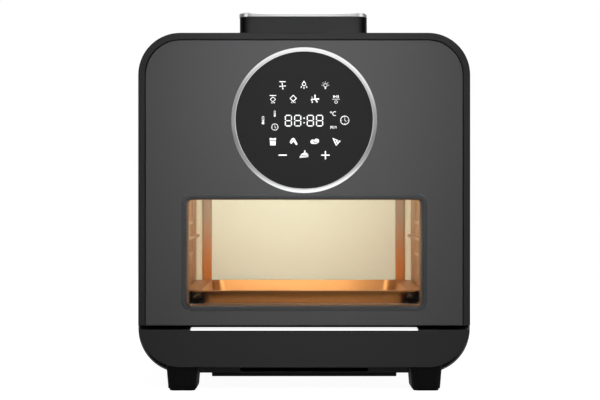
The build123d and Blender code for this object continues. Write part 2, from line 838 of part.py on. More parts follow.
# Motor on three legs above the housing, with a bearing at each end
motor_z = can_top + motor_lift
motor_top = motor_z + motor_h
with BuildPart() as fan_motor:
    with BuildSketch(Plane.XY.offset(motor_z)):
        with Locations(fan_centre):
            Circle(motor_r)
    extrude(amount=motor_h)
    fillet(edges().group_by(Axis.Z)[-1], bearing_h)
    with BuildSketch(Plane.XY.offset(can_top)):
        with Locations(fan_centre):
            with PolarLocations(motor_r - 2 * motor_leg_r, 3):
                Circle(motor_leg_r)
    extrude(amount=motor_lift)
    with BuildSketch(Plane.XY.offset(motor_z)):
        with Locations(fan_centre):
            Circle(bearing_r)
    extrude(amount=motor_h, mode=Mode.SUBTRACT)
save(fan_motor, "fan_motor")

with BuildPart() as motor_bearings:
    for z in (motor_z, motor_top - bearing_h):
        with BuildSketch(Plane.XY.offset(z)):
            with Locations(fan_centre):
                Circle(bearing_r)
                Circle(shaft_r + shaft_fit, mode=Mode.SUBTRACT)
        extrude(amount=bearing_h)
save(motor_bearings, "motor_bearings")

fan_z = liner_top + fan_lift
cool_fan_z = motor_top + cool_fan_gap
shaft_top = cool_fan_z + cool_fan_h
with BuildPart() as motor_shaft:
    with BuildSketch(Plane.XY.offset(fan_z)):
        with Locations(fan_centre):
            Circle(shaft_r)
    extrude(amount=shaft_top - fan_z)
    with BuildSketch(Plane.XY.offset(motor_z + bearing_h + fit_gap)):
        with Locations(fan_centre):
            Circle(bearing_r - rotor_gap)
    extrude(amount=motor_h - 2 * bearing_h - 2 * fit_gap)
save(motor_shaft, "motor_shaft")


def make_fan(radius, height, z, hub_z):
    """A disc with upright blades and a hub that grips the shaft."""
    with BuildPart() as wheel:
        with BuildSketch(Plane.XY.offset(z)):
            with Locations(fan_centre):
                Circle(radius)
        extrude(amount=fan_disc_t)
        with BuildSketch(Plane.XY.offset(z)):
            with Locations(fan_centre):
                with PolarLocations((radius - fan_blade_t + fan_hub_r / 2) / 2, fan_blades):
                    Rectangle(radius - fan_blade_t - fan_hub_r / 2, fan_blade_t)
        extrude(amount=height)
        with BuildSketch(Plane.XY.offset(hub_z)):
            with Locations(fan_centre):
                Circle(fan_hub_r)
        extrude(amount=height)
        with BuildSketch(Plane.XY.offset(z)):
            with Locations(fan_centre):
                Circle(shaft_r)
        extrude(amount=height, mode=Mode.SUBTRACT)
    return wheel


save(make_fan(fan_r, fan_h, fan_z, fan_z), "convection_fan")
save(make_fan(cool_fan_r, cool_fan_h, cool_fan_z, cool_fan_z), "cooling_fan")

# Cavity lamp in the right wall: holder, bulb and glass cover
wall_out = cavity_w / 2 + liner_t
with BuildPart() as lamp_holder:
    with BuildSketch(Plane.YZ.offset(wall_out)):
        with Locations((lamp_y, lamp_z)):
            Circle(lamp_r + lamp_glass_t)
    extrude(amount=lamp_can_l)
    with BuildSketch(Plane.YZ.offset(wall_out)):
        with Locations((lamp_y, lamp_z)):
            Circle(lamp_r)
    extrude(amount=lamp_can_l - sheet_t, mode=Mode.SUBTRACT)
save(lamp_holder, "lamp_holder")

with BuildPart() as lamp_bulb:
    with BuildSketch(Plane.YZ.offset(wall_out + lamp_can_l - sheet_t)):
        with Locations((lamp_y, lamp_z)):
            Circle(bulb_r)
    extrude(amount=-bulb_l)
    fillet(edges().group_by(Axis.X)[0], bulb_r - shaft_fit)
save(lamp_bulb, "lamp_bulb")

with BuildPart() as lamp_glass:
    with BuildSketch(Plane.YZ.offset(cavity_w / 2 - lamp_glass_t)):
        with Locations((lamp_y, lamp_z)):
            Circle(lamp_r + lamp_glass_t)
    extrude(amount=lamp_glass_t)
    fillet(edges().group_by(Axis.X)[0], lamp_glass_t / 2)
    with BuildSketch(Plane.YZ.offset(cavity_w / 2)):
        with Locations((lamp_y, lamp_z)):
            Circle(lamp_r - shaft_fit)
    extrude(amount=liner_t)
save(lamp_glass, "lamp_glass")

# Temperature probe through the left wall, cut-out on the liner's ceiling
with BuildPart() as temperature_probe:
    with BuildSketch(Plane.YZ.offset(-cavity_w / 2 - liner_t - probe_r)):
        with Locations((probe_y, probe_z)):
            Circle(probe_r)
    extrude(amount=probe_l)
    with BuildSketch(Plane.YZ.offset(-cavity_w / 2 - liner_t)):
        with Locations((probe_y, probe_z)):
            Circle(2 * probe_r)
    extrude(amount=-probe_r)
save(temperature_probe, "temperature_probe")

with BuildPart() as thermal_cutout:
    with BuildSketch(Plane.XY.offset(liner_top)):
        with Locations((cavity_w / 2 - 2 * cutout_r, body_y + 2 * cutout_r)):
            Circle(cutout_r)
    extrude(amount=cutout_h)
save(thermal_cutout, "thermal_cutout")

# Tank dock: a well hung from the casing's top, with an outlet seat in its floor
tank_top = casing_top + tank_rise
tank_z = tank_top - tank_h
dock_floor_z = tank_z - fit_gap
dock_z = dock_floor_z - dock_wall
dock_corner_r = tank_corner_r + dock_gap
with BuildPart() as tank_dock:
    with BuildSketch(Plane.XY.offset(dock_z)):
        with Locations((0, dock_y)):
            RectangleRounded(dock_w, dock_d, dock_corner_r)
    extrude(amount=casing_top - dock_z)
    with BuildSketch(Plane.XY.offset(casing_top)):
        with Locations((0, dock_y)):
            flange_d = dock_d + 2 * tank_back_gap
            RectangleRounded(dock_w + 2 * dock_flange, flange_d, dock_corner_r + fit_gap)
    extrude(amount=dock_wall)
    with BuildSketch(Plane.XY.offset(dock_floor_z)):
        with Locations((0, dock_y)):
            RectangleRounded(tank_w + 2 * dock_gap, tank_d + 2 * dock_gap, dock_corner_r - dock_wall)
    extrude(amount=casing_top + dock_wall - dock_floor_z, mode=Mode.SUBTRACT)
    with BuildSketch(Plane.XY.offset(dock_floor_z)):
        with Locations((0, dock_y)):
            Circle(outlet_r + sheet_t)
    extrude(amount=-(outlet_l + fit_gap))
    with BuildSketch(Plane.XY.offset(dock_floor_z)):
        with Locations((0, dock_y)):
            Circle(nipple_r)
    extrude(amount=-(outlet_l + fit_gap + nipple_l))
    with BuildSketch(Plane.XY.offset(dock_floor_z)):
        with Locations((0, dock_y)):
            Circle(outlet_r + shaft_fit)
    extrude(amount=-(outlet_l - sheet_t), mode=Mode.SUBTRACT)
    with BuildSketch(Plane.XY.offset(dock_floor_z)):
        with Locations((0, dock_y)):
            Circle(nipple_r - sheet_t)
    extrude(amount=-(outlet_l + fit_gap + nipple_l), mode=Mode.SUBTRACT)
save(tank_dock, "tank_dock")

# Water tank: a tall flat bottle with a spigot below and half hinge knuckles behind
lid_hinge_y = dock_y + tank_d / 2 + lid_barrel_r
lid_hinge_z = tank_top
with BuildPart() as water_tank:
    with BuildSketch(Plane.XY.offset(tank_z)):
        with Locations((0, dock_y)):
            RectangleRounded(tank_w, tank_d, tank_corner_r)
    extrude(amount=tank_h)
    with BuildSketch(Plane.XY.offset(tank_z + tank_wall)):
        with Locations((0, dock_y)):
            inner_w = tank_w - 2 * tank_wall
            RectangleRounded(inner_w, tank_d - 2 * tank_wall, tank_corner_r - tank_wall)
    extrude(amount=tank_h, mode=Mode.SUBTRACT)
    with BuildSketch(Plane.XY.offset(tank_z)):
        with Locations((0, dock_y)):
            Circle(outlet_r)
    extrude(amount=-(outlet_l - 2 * sheet_t))
    with BuildSketch(Plane.XY.offset(tank_z + tank_wall)):
        with Locations((0, dock_y)):
            Circle(outlet_bore_r)
    extrude(amount=-(tank_wall + outlet_l), mode=Mode.SUBTRACT)
    for side in (-1, 1):
        with BuildSketch(Plane.YZ.offset(side * lid_knuckle_l - lid_knuckle_l / 4)):
            with Locations((lid_hinge_y, lid_hinge_z)):
                Circle(lid_barrel_r)
            with Locations((lid_hinge_y - lid_barrel_r / 2, lid_hinge_z - lid_barrel_r)):
                Rectangle(lid_barrel_r, 2 * lid_barrel_r)
            with Locations((lid_hinge_y, lid_hinge_z)):
                Circle(lid_pin_r, mode=Mode.SUBTRACT)
        extrude(amount=lid_knuckle_l / 2)
save(water_tank, "water_tank")

# Tank lid: a bright plate whose middle knuckle turns on the tank's pin
lid_z = tank_top + fit_gap
lid_w = tank_w + 2 * tank_lid_over
lid_front = dock_y - tank_d / 2 - tank_lid_over
lid_back = dock_y + tank_d / 2 - fit_gap
with BuildPart() as tank_lid:
    with BuildSketch(Plane.XY.offset(lid_z)):
        with Locations((0, (lid_front + lid_back) / 2)):
            RectangleRounded(lid_w, lid_back - lid_front, tank_corner_r + tank_lid_over)
    extrude(amount=tank_lid_t - fit_gap)
    fillet(edges().group_by(Axis.Z)[-1], tank_lid_t / 4)
    knuckle_reach = lid_knuckle_l - lid_knuckle_l / 4 - slide_gap
    with BuildSketch(Plane.YZ.offset(-knuckle_reach)):
        with Locations((lid_hinge_y - lid_barrel_r / 2 - fit_gap, lid_hinge_z + lid_barrel_r / 2 + fit_gap)):
            Rectangle(lid_barrel_r + 2 * fit_gap, lid_barrel_r - fit_gap)
        with Locations((lid_hinge_y, lid_hinge_z)):
            Circle(lid_barrel_r - slide_gap)
            Circle(lid_pin_r + shaft_fit, mode=Mode.SUBTRACT)
    extrude(amount=2 * knuckle_reach)
save(tank_lid, "tank_lid")

with BuildPart() as tank_lid_pin:
    with BuildSketch(Plane.YZ.offset(-1.25 * lid_knuckle_l)):
        with Locations((lid_hinge_y, lid_hinge_z)):
            Circle(lid_pin_r)
    extrude(amount=2.5 * lid_knuckle_l)
save(tank_lid_pin, "tank_lid_pin")

# Pump under the dock, standing on the base pan
base_top = base_z + sheet_t
pump_z = base_top
pump_side_z = base_top + boiler_foot_h + boiler_h / 4
with BuildPart() as water_pump:
    with BuildSketch(Plane.XY.offset(pump_z)):
        with Locations((0, dock_y)):
            Circle(pump_r)
    extrude(amount=pump_h)
    fillet(edges().group_by(Axis.Z)[-1], bearing_h)
    with BuildSketch(Plane.XY.offset(pump_z + pump_h)):
        with Locations((0, dock_y)):
            Circle(nipple_r)
    extrude(amount=nipple_l)
    with BuildSketch(Plane.YZ.offset(-pump_r + sheet_t)):
        with Locations((dock_y, pump_side_z)):
            Circle(nipple_r)
    extrude(amount=-nipple_l)
save(water_pump, "water_pump")

# Steam generator: a cast block on a foot, its outlet under the steam pipe
boiler_y = liner_back + steam_y_back
boiler_z = base_top
boiler_top = boiler_z + boiler_foot_h + boiler_h
with BuildPart() as steam_generator:
    with BuildSketch(Plane.XY.offset(boiler_z)):
        with Locations((-steam_x, boiler_y)):
            Rectangle(boiler_w / 2, boiler_d)
    extrude(amount=boiler_foot_h)
    with BuildSketch(Plane.XY.offset(boiler_z + boiler_foot_h)):
        with Locations((-steam_x, boiler_y)):
            RectangleRounded(boiler_w, boiler_d, boiler_foot_h)
    extrude(amount=boiler_h)
    with BuildSketch(Plane.YZ.offset(-steam_x + boiler_w / 2)):
        with Locations((dock_y, pump_side_z)):
            Circle(nipple_r)
    extrude(amount=nipple_l)
save(steam_generator, "steam_generator")

# Water hoses: dock to pump, pump to steam generator
with BuildPart() as water_hoses:
    hose_r = nipple_r + hose_wall
    hose_z = pump_z + pump_h
    hose_top = dock_floor_z - outlet_l - fit_gap
    with BuildSketch(Plane.XY.offset(hose_z)):
        with Locations((0, dock_y)):
            Circle(hose_r)
    extrude(amount=hose_top - hose_z)
    with BuildSketch(Plane.XY.offset(hose_z)):
        with Locations((0, dock_y)):
            Circle(nipple_r)
    extrude(amount=hose_top - hose_z, mode=Mode.SUBTRACT)
    hose_x = -steam_x + boiler_w / 2
    with BuildSketch(Plane.YZ.offset(hose_x)):
        with Locations((dock_y, pump_side_z)):
            Circle(hose_r)
    extrude(amount=-pump_r - fit_gap - hose_x)
    with BuildSketch(Plane.YZ.offset(hose_x)):
        with Locations((dock_y, pump_side_z)):
            Circle(nipple_r)
    extrude(amount=-pump_r - hose_x, mode=Mode.SUBTRACT)
save(water_hoses, "water_hoses")

# Steam pipe up from the generator and forward into the nozzle
with BuildPart() as steam_pipe:
    with BuildLine():
        FilletPolyline(
            (-steam_x, boiler_y, boiler_top),
            (-steam_x, boiler_y, nozzle_z),
            (-steam_x, liner_back + sheet_t, nozzle_z),
            radius=steam_pipe_bend,
        )
    with BuildSketch(Plane.XY.offset(boiler_top)):
        with Locations((-steam_x, boiler_y)):
            Circle(steam_pipe_r)
    sweep()
save(steam_pipe, "steam_pipe")

with BuildPart() as steam_nozzle:
    with BuildSketch(face_plane(liner_back)):
        with Locations((-steam_x, nozzle_z)):
            Circle(nozzle_r)
    extrude(amount=liner_t + nozzle_r)
    fillet(edges().group_by(Axis.Y)[0], nozzle_r / 3)
    with BuildSketch(face_plane(liner_back)):
        with Locations((-steam_x, nozzle_z)):
            Circle(nozzle_flange_r)
    extrude(amount=-sheet_t)
save(steam_nozzle, "steam_nozzle")

# Power board on standoffs inside the rear cover, cord gland below it
with BuildPart() as power_board:
    with BuildSketch(face_plane(cover_y)):
        with Locations((power_x, power_z)):
            with GridLocations(power_w - 4 * screw_r, power_h - 4 * screw_r, 2, 2):
                Circle(screw_head_r)
    extrude(amount=standoff_l)
    with BuildSketch(face_plane(cover_y - standoff_l)):
        with Locations((power_x, power_z)):
            Rectangle(power_w, power_h)
    extrude(amount=board_t)
    with BuildSketch(face_plane(cover_y - standoff_l - board_t)):
        with Locations((power_x, power_z + power_h / 4)):
            Rectangle(power_w / 2, power_h / 4)
        with Locations((power_x, power_z - power_h / 4)):
            Circle(power_w / 6)
    extrude(amount=steam_pipe_bend)
save(power_board, "power_board")

with BuildPart() as cord_gland:
    with BuildSketch(face_plane(cover_y + cover_t + gland_l)):
        with Locations((gland_x, gland_z)):
            Circle(gland_r)
    extrude(amount=gland_l + cover_t)
    with BuildSketch(face_plane(cover_y)):
        with Locations((gland_x, gland_z)):
            Circle(gland_r + screw_r)
    extrude(amount=gland_l)
    with BuildSketch(face_plane(cover_y + cover_t + gland_l)):
        with Locations((gland_x, gland_z)):
            Circle(gland_bore_r)
    extrude(amount=2 * gland_l + cover_t, mode=Mode.SUBTRACT)
save(cord_gland, "cord_gland")

# Drip tray: a flat pan hung by its side flanges, with a face plate and a finger slot
drip_face_y = front_y + drip_face_back
drip_face_z = trim_z - drip_face_h - fit_gap
drip_flange_z = base_z + drip_rail_h + slide_gap / 2
drip_top = drip_flange_z + drip_wall
drip_pan_z = drip_face_z - drip_slot_h / 2
drip_pan_l = channel_back - sheet_t - drip_pan_back - drip_face_y - drip_face_t
drip_pan_y = drip_face_y + drip_face_t + drip_pan_l / 2
flange_w = channel_w - 2 * slide_gap
with BuildPart() as drip_tray:
    with BuildSketch(Plane.XY.offset(drip_pan_z)):
        with Locations((0, drip_pan_y)):
            Rectangle(drip_pan_w, drip_pan_l)
    extrude(amount=drip_top - drip_pan_z)
    with BuildSketch(Plane.XY.offset(drip_flange_z)):
        with Locations((0, body_y + (drip_pan_y + drip_pan_l / 2 - body_y) / 2)):
            Rectangle(flange_w, drip_pan_y + drip_pan_l / 2 - body_y)
    extrude(amount=drip_wall)
    with BuildSketch(Plane.XY.offset(drip_pan_z + drip_wall)):
        with Locations((0, drip_pan_y)):
            Rectangle(drip_pan_w - 2 * drip_wall, drip_pan_l - 2 * drip_wall)
    extrude(amount=drip_top - drip_pan_z, mode=Mode.SUBTRACT)
    with BuildSketch(face_plane(drip_face_y)):
        with Locations((0, drip_face_z + drip_face_h / 2)):
            Rectangle(drip_face_w, drip_face_h)
    extrude(amount=-drip_face_t)
    with BuildSketch(face_plane(drip_face_y)):
        with Locations((0, drip_face_z + drip_face_h / 2)):
            SlotOverall(drip_slot_w, drip_slot_h)
    extrude(amount=-(drip_face_t + drip_wall), mode=Mode.SUBTRACT)
save(drip_tray, "drip_tray")

# Feet: tapered blocks with a screw and a pad, the front pair long enough to rise under the trim
foot_taper = foot_top - foot_bottom
foot_len = body_y + foot_lap - front_y - foot_in
foot_front_y = front_y + foot_in + foot_len / 2
foot_rear_y = cover_y - foot_back
feet = (
    ("front", foot_front_y, foot_len, body_y + foot_lap / 2),
    ("rear", foot_rear_y, foot_top, foot_rear_y),
)
for side, side_name in ((-1, "left"), (1, "right")):
    for end_name, y, length, screw_y in feet:
        with BuildPart() as foot:
            with BuildSketch(Plane.XY.offset(pad_t)):
                with Locations((side * foot_x, y)):
                    RectangleRounded(foot_bottom, length - foot_taper, foot_corner_r)
            with BuildSketch(Plane.XY.offset(trim_z + foot_taper)):
                with Locations((side * foot_x, y)):
                    RectangleRounded(foot_top, length, foot_corner_r)
            loft()
            with BuildSketch(face_plane(body_y)):
                with Locations((0, casing_mid)):
                    RectangleRounded(casing_w, casing_h, casing_corner_r)
            extrude(amount=-body_depth, mode=Mode.SUBTRACT)
            with BuildSketch(face_plane(front_y)):
                with Locations((0, front_mid)):
                    RectangleRounded(front_w + 2 * fit_gap, front_h + 2 * fit_gap, front_corner_r + fit_gap)
            extrude(amount=-(body_y - front_y), mode=Mode.SUBTRACT)
            with BuildSketch(Plane.XY):
                with Locations((side * (foot_x - foot_corner_r), screw_y)):
                    Circle(screw_head_r + shaft_fit)
            extrude(amount=foot_h - screw_l / 2, mode=Mode.SUBTRACT)
        save(foot, end_name + "_" + side_name + "_foot")

with BuildPart() as foot_pads:
    with BuildSketch(Plane.XY):
        for _, y, length, _ in feet:
            pad_l = length - foot_taper - pad_inset
            with Locations((-foot_x, y), (foot_x, y)):
                RectangleRounded(foot_bottom - pad_inset, pad_l, foot_corner_r - pad_inset / 2)
    extrude(amount=pad_t)
save(foot_pads, "foot_pads")
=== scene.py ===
import math

import bmesh
import bpy
from mathutils import Matrix, Vector


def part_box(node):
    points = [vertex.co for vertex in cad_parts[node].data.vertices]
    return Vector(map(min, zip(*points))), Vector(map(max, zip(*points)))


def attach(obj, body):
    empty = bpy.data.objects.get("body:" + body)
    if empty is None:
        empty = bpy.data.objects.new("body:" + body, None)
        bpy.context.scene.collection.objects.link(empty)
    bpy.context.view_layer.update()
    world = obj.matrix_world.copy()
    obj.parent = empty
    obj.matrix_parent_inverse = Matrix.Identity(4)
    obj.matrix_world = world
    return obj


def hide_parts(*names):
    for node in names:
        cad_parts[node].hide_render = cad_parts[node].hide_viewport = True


bl_info = {
    "name": "Steam air fryer",
    "version": (1, 0, 0),
    "blender": (4, 5, 0),
    "location": "View3D > Sidebar > Air fryer",
    "description": "Dresses a steam air fryer's solids with finishes, display, fittings and a studio",
    "category": "Object",
}

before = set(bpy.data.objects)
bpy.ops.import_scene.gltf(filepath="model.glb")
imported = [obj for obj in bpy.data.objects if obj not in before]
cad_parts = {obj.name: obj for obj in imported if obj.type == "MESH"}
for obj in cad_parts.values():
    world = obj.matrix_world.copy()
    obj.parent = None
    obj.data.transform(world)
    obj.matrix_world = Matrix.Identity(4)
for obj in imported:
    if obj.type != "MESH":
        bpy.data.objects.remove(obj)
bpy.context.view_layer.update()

MM = 0.001


# Small helpers for places and objects

def corners(node):
    """The lowest and highest corners of a solid, as vectors."""
    low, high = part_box(node)
    return Vector(low), Vector(high)


def add_piece(mesh_name, bm, body, material):
    """Turn a bmesh into a piece that rides on a body and wears one material."""
    mesh = bpy.data.meshes.new(mesh_name)
    bm.normal_update()
    bm.to_mesh(mesh)
    bm.free()
    mesh.materials.append(material)
    piece = bpy.data.objects.new(mesh_name, mesh)
    bpy.context.scene.collection.objects.link(piece)
    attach(piece, body)
    return piece


def set_material(node, material):
    """Give a solid's mesh one material in all its slots."""
    piece = bpy.data.objects[node]
    if not piece.material_slots:
        piece.data.materials.append(material)
    for slot in piece.material_slots:
        slot.material = material


def smooth_by_angle(piece, degrees=35.0):
    """Smooth shading with the sharp edges kept."""
    mesh = piece.data
    mesh.polygons.foreach_set("use_smooth", [True] * len(mesh.polygons))
    mesh.set_sharp_from_angle(angle=math.radians(degrees))


# Small helpers for shader nodes

FLOAT, COLOUR, VECTOR = "NodeSocketFloat", "NodeSocketColor", "NodeSocketVector"
ACROSS, UPWARD = (1.0, 0.0, 0.0), (0.0, 0.0, 1.0)


def grey(level, alpha=1.0):
    return (level, level, level, alpha)


def shade(colour, factor):
    return (colour[0] * factor, colour[1] * factor, colour[2] * factor, 1.0)


def feed(tree, value, target):
    """Link a socket to another, or give it a plain value."""
    if isinstance(value, bpy.types.NodeSocket):
        tree.links.new(value, target)
    else:
        target.default_value = value


def object_place(tree):
    return tree.nodes.new("ShaderNodeTexCoord").outputs["Object"]


def calculate(tree, operation, *values):
    """A Math node fed by sockets or numbers."""
    node = tree.nodes.new("ShaderNodeMath")
    node.operation = operation
    for value, target in zip(values, node.inputs):
        feed(tree, value, target)
    return node.outputs["Value"]


def measure(tree, operation, vector, other):
    """A Vector Math node that gives one number: a distance or a dot product."""
    node = tree.nodes.new("ShaderNodeVectorMath")
    node.operation = operation
    feed(tree, vector, node.inputs[0])
    feed(tree, other, node.inputs[1])
    return node.outputs["Value"]


def remap(tree, value, low, high, first=0.0, second=1.0, curve="LINEAR"):
    """A Map Range node: the first value at the low end, the second at the high end."""
    node = tree.nodes.new("ShaderNodeMapRange")
    node.interpolation_type = curve
    for label, given in (("Value", value), ("From Min", low), ("From Max", high),
                         ("To Min", first), ("To Max", second)):
        feed(tree, given, node.inputs[label])
    return node.outputs["Result"]


def blend_colours(tree, share, first, second):
    node = tree.nodes.new("ShaderNodeMix")
    node.data_type = "RGBA"
    for label, given in (("Factor", share), ("A", first), ("B", second)):
        feed(tree, given, node.inputs[label])
    return node.outputs["Result"]


def noise(tree, place, scale, detail=2.0):
    node = tree.nodes.new("ShaderNodeTexNoise")
    for label, given in (("Vector", place), ("Scale", scale), ("Detail", detail)):
        feed(tree, given, node.inputs[label])
    return node.outputs["Fac"]


# Shader node groups, built once

def new_group(name, inputs, outputs):
    """A node group with its named inputs, each with a default, and its named outputs."""
    group = bpy.data.node_groups.new(name, "ShaderNodeTree")
    for label, kind, default in inputs:
        group.interface.new_socket(name=label, in_out="INPUT", socket_type=kind).default_value = default
    for label, kind in outputs:
        group.interface.new_socket(name=label, in_out="OUTPUT", socket_type=kind)
    return group, group.nodes.new("NodeGroupInput").outputs, group.nodes.new("NodeGroupOutput").inputs


def finish_surface(group, given, out, tint_by, pattern):
    """What both surface groups put out: a tint, a roughness and a height."""
    feed(group, blend_colours(group, tint_by, given["Dark"], given["Light"]), out["Color"])
    feed(group, remap(group, pattern, 0.0, 1.0, given["Rough low"], given["Rough high"]), out["Roughness"])
    feed(group, pattern, out["Height"])


SURFACE = (("Color", COLOUR), ("Roughness", FLOAT), ("Height", FLOAT))


def make_paint_grain():
    """Fine paint grain: a height for the bump and a slow tint between two greys."""
    group, given, out = new_group("paint_grain", (
        ("Scale", FLOAT, 900.0), ("Cloud scale", FLOAT, 6.0), ("Dark", COLOUR, grey(0.0)),
        ("Light", COLOUR, grey(1.0)), ("Rough low", FLOAT, 0.35), ("Rough high", FLOAT, 0.5)), SURFACE)
    place = object_place(group)
    grain = noise(group, place, given["Scale"], 3.0)
    finish_surface(group, given, out, noise(group, place, given["Cloud scale"]), grain)


def make_brushed_lines():
    """Brush lines along one axis: roughness, tint and height for rolled or spun metal."""
    group, given, out = new_group("brushed_lines", (
        ("Stretch", VECTOR, (4.0, 400.0, 400.0)), ("Dark", COLOUR, grey(0.5)), ("Light", COLOUR, grey(0.7)),
        ("Rough low", FLOAT, 0.25), ("Rough high", FLOAT, 0.45)), SURFACE)
    stretch = group.nodes.new("ShaderNodeVectorMath")
    stretch.operation = "MULTIPLY"
    feed(group, object_place(group), stretch.inputs[0])
    feed(group, given["Stretch"], stretch.inputs[1])
    lines = noise(group, stretch.outputs["Vector"], 1.0, 4.0)
    finish_surface(group, given, out, lines, lines)


def make_edge_fade():
    """A tint that goes from one colour to another with the distance along an axis."""
    group, given, out = new_group("edge_fade", (
        ("Axis", VECTOR, ACROSS), ("Near", FLOAT, 0.0), ("Far", FLOAT, 0.1), ("First", COLOUR, grey(1.0)),
        ("Second", COLOUR, grey(0.0))), SURFACE[:1])
    along = calculate(group, "ABSOLUTE", measure(group, "DOT_PRODUCT", object_place(group), given["Axis"]))
    share = remap(group, along, given["Near"], given["Far"], curve="SMOOTHSTEP")
    feed(group, blend_colours(group, share, given["First"], given["Second"]), out["Color"])


# Finishes

def new_material(name):
    """An empty Principled material with its shader and its node tree."""
    material = bpy.data.materials.new(name)
    material.use_nodes = True
    shader = material.node_tree.nodes["Principled BSDF"]
    return material, shader, material.node_tree


def add_group(tree, name, **values):
    """Place a shared effect in a material, with the material's own values."""
    node = tree.nodes.new("ShaderNodeGroup")
    node.node_tree = bpy.data.node_groups[name]
    for label, value in values.items():
        node.inputs[label.replace("_", " ")].default_value = value
    return node.outputs


def wire_bump(tree, shader, height, strength, distance):
    bump = tree.nodes.new("ShaderNodeBump")
    bump.inputs["Strength"].default_value = strength
    bump.inputs["Distance"].default_value = distance
    feed(tree, height, bump.inputs["Height"])
    feed(tree, bump.outputs["Normal"], shader.inputs["Normal"])


def wire_surface(tree, shader, surface, dark, light, fade, bump, distance):
    """Wire a surface group to the shader. A fade, as axis, near and far, takes the tint's place."""
    colour = surface["Color"]
    if fade:
        axis, near, far = fade
        colour = add_group(tree, "edge_fade", Axis=axis, Near=near, Far=far,
                           First=dark, Second=light)["Color"]
    feed(tree, colour, shader.inputs["Base Color"])
    feed(tree, surface["Roughness"], shader.inputs["Roughness"])
    wire_bump(tree, shader, surface["Height"], bump, distance)


def paint(name, dark, light, rough=(0.35, 0.5), scale=900.0, cloud=6.0, bump=0.08, metallic=0.0,
          specular=0.5, fade=None):
    """Painted, moulded or cast surface with fine grain and a slow change of tint."""
    material, shader, tree = new_material(name)
    grain = add_group(tree, "paint_grain", Scale=scale, Cloud_scale=cloud, Dark=dark, Light=light,
                      Rough_low=rough[0], Rough_high=rough[1])
    wire_surface(tree, shader, grain, dark, light, fade, bump, 0.0002)
    shader.inputs["Metallic"].default_value = metallic
    shader.inputs["Specular IOR Level"].default_value = specular
    return material


def metal(name, dark, light, rough=(0.25, 0.4), stretch=(4.0, 400.0, 400.0), bump=0.05, fade=None):
    """Bare metal with brush lines along one axis."""
    material, shader, tree = new_material(name)
    lines = add_group(tree, "brushed_lines", Stretch=stretch, Dark=dark, Light=light,
                      Rough_low=rough[0], Rough_high=rough[1])
    wire_surface(tree, shader, lines, dark, light, fade, bump, 0.0001)
    shader.inputs["Metallic"].default_value = 1.0
    return material


def clear_sheet(name, tint, alpha, rough):
    """Glass seen through: a thin tinted film that still shines."""
    material, shader, tree = new_material(name)
    smear = add_group(tree, "paint_grain", Scale=40.0, Rough_low=rough, Rough_high=rough * 2)
    feed(tree, smear["Roughness"], shader.inputs["Roughness"])
    shader.inputs["Base Color"].default_value = tint
    shader.inputs["Alpha"].default_value = alpha
    shader.inputs["IOR"].default_value = 1.45
    return material


def glowing(name, colour, strength):
    """A lit surface: its own colour, plus light."""
    material, shader, tree = new_material(name)
    shader.inputs["Base Color"].default_value = colour
    shader.inputs["Roughness"].default_value = 0.5
    shader.inputs["Emission Color"].default_value = colour
    shader.inputs["Emission Strength"].default_value = strength
    return material


def cavity_enamel(name, own, half_width, back_y):
    """Cream back wall, sand where it meets the sides, and bronze darkened to 0.4 on the sides' front part:
    painted shade in the grooves between the embossed panels.
    """
    material, shader, tree = new_material(name)
    place = object_place(tree)
    split = tree.nodes.new("ShaderNodeSeparateXYZ")
    feed(tree, place, split.inputs["Vector"])
    post = half_width - own.post_inset - own.post_width / 2
    edge_softness = 0.001
    bronze_ends, sand_starts = back_y - 0.072, back_y - 0.066
    beside = remap(tree, calculate(tree, "ABSOLUTE", split.outputs["X"]), post, post + edge_softness)
    behind = remap(tree, split.outputs["Y"], bronze_ends, sand_starts)
    # The sides' front part is bronze darkened to 0.4: painted shade for the grooves between the embossed
    # panels
    sides_groove_shade = blend_colours(tree, behind, shade(own.bronze, 0.4), own.sand)
    feed(tree, blend_colours(tree, beside, own.cream, sides_groove_shade), shader.inputs["Base Color"])
    wire_bump(tree, shader, noise(tree, place, 700.0), 0.1, 0.0003)
    shader.inputs["Roughness"].default_value = 0.5
    shader.inputs["Specular IOR Level"].default_value = 0.12
    return material


# Flat drawing, for the display's symbols

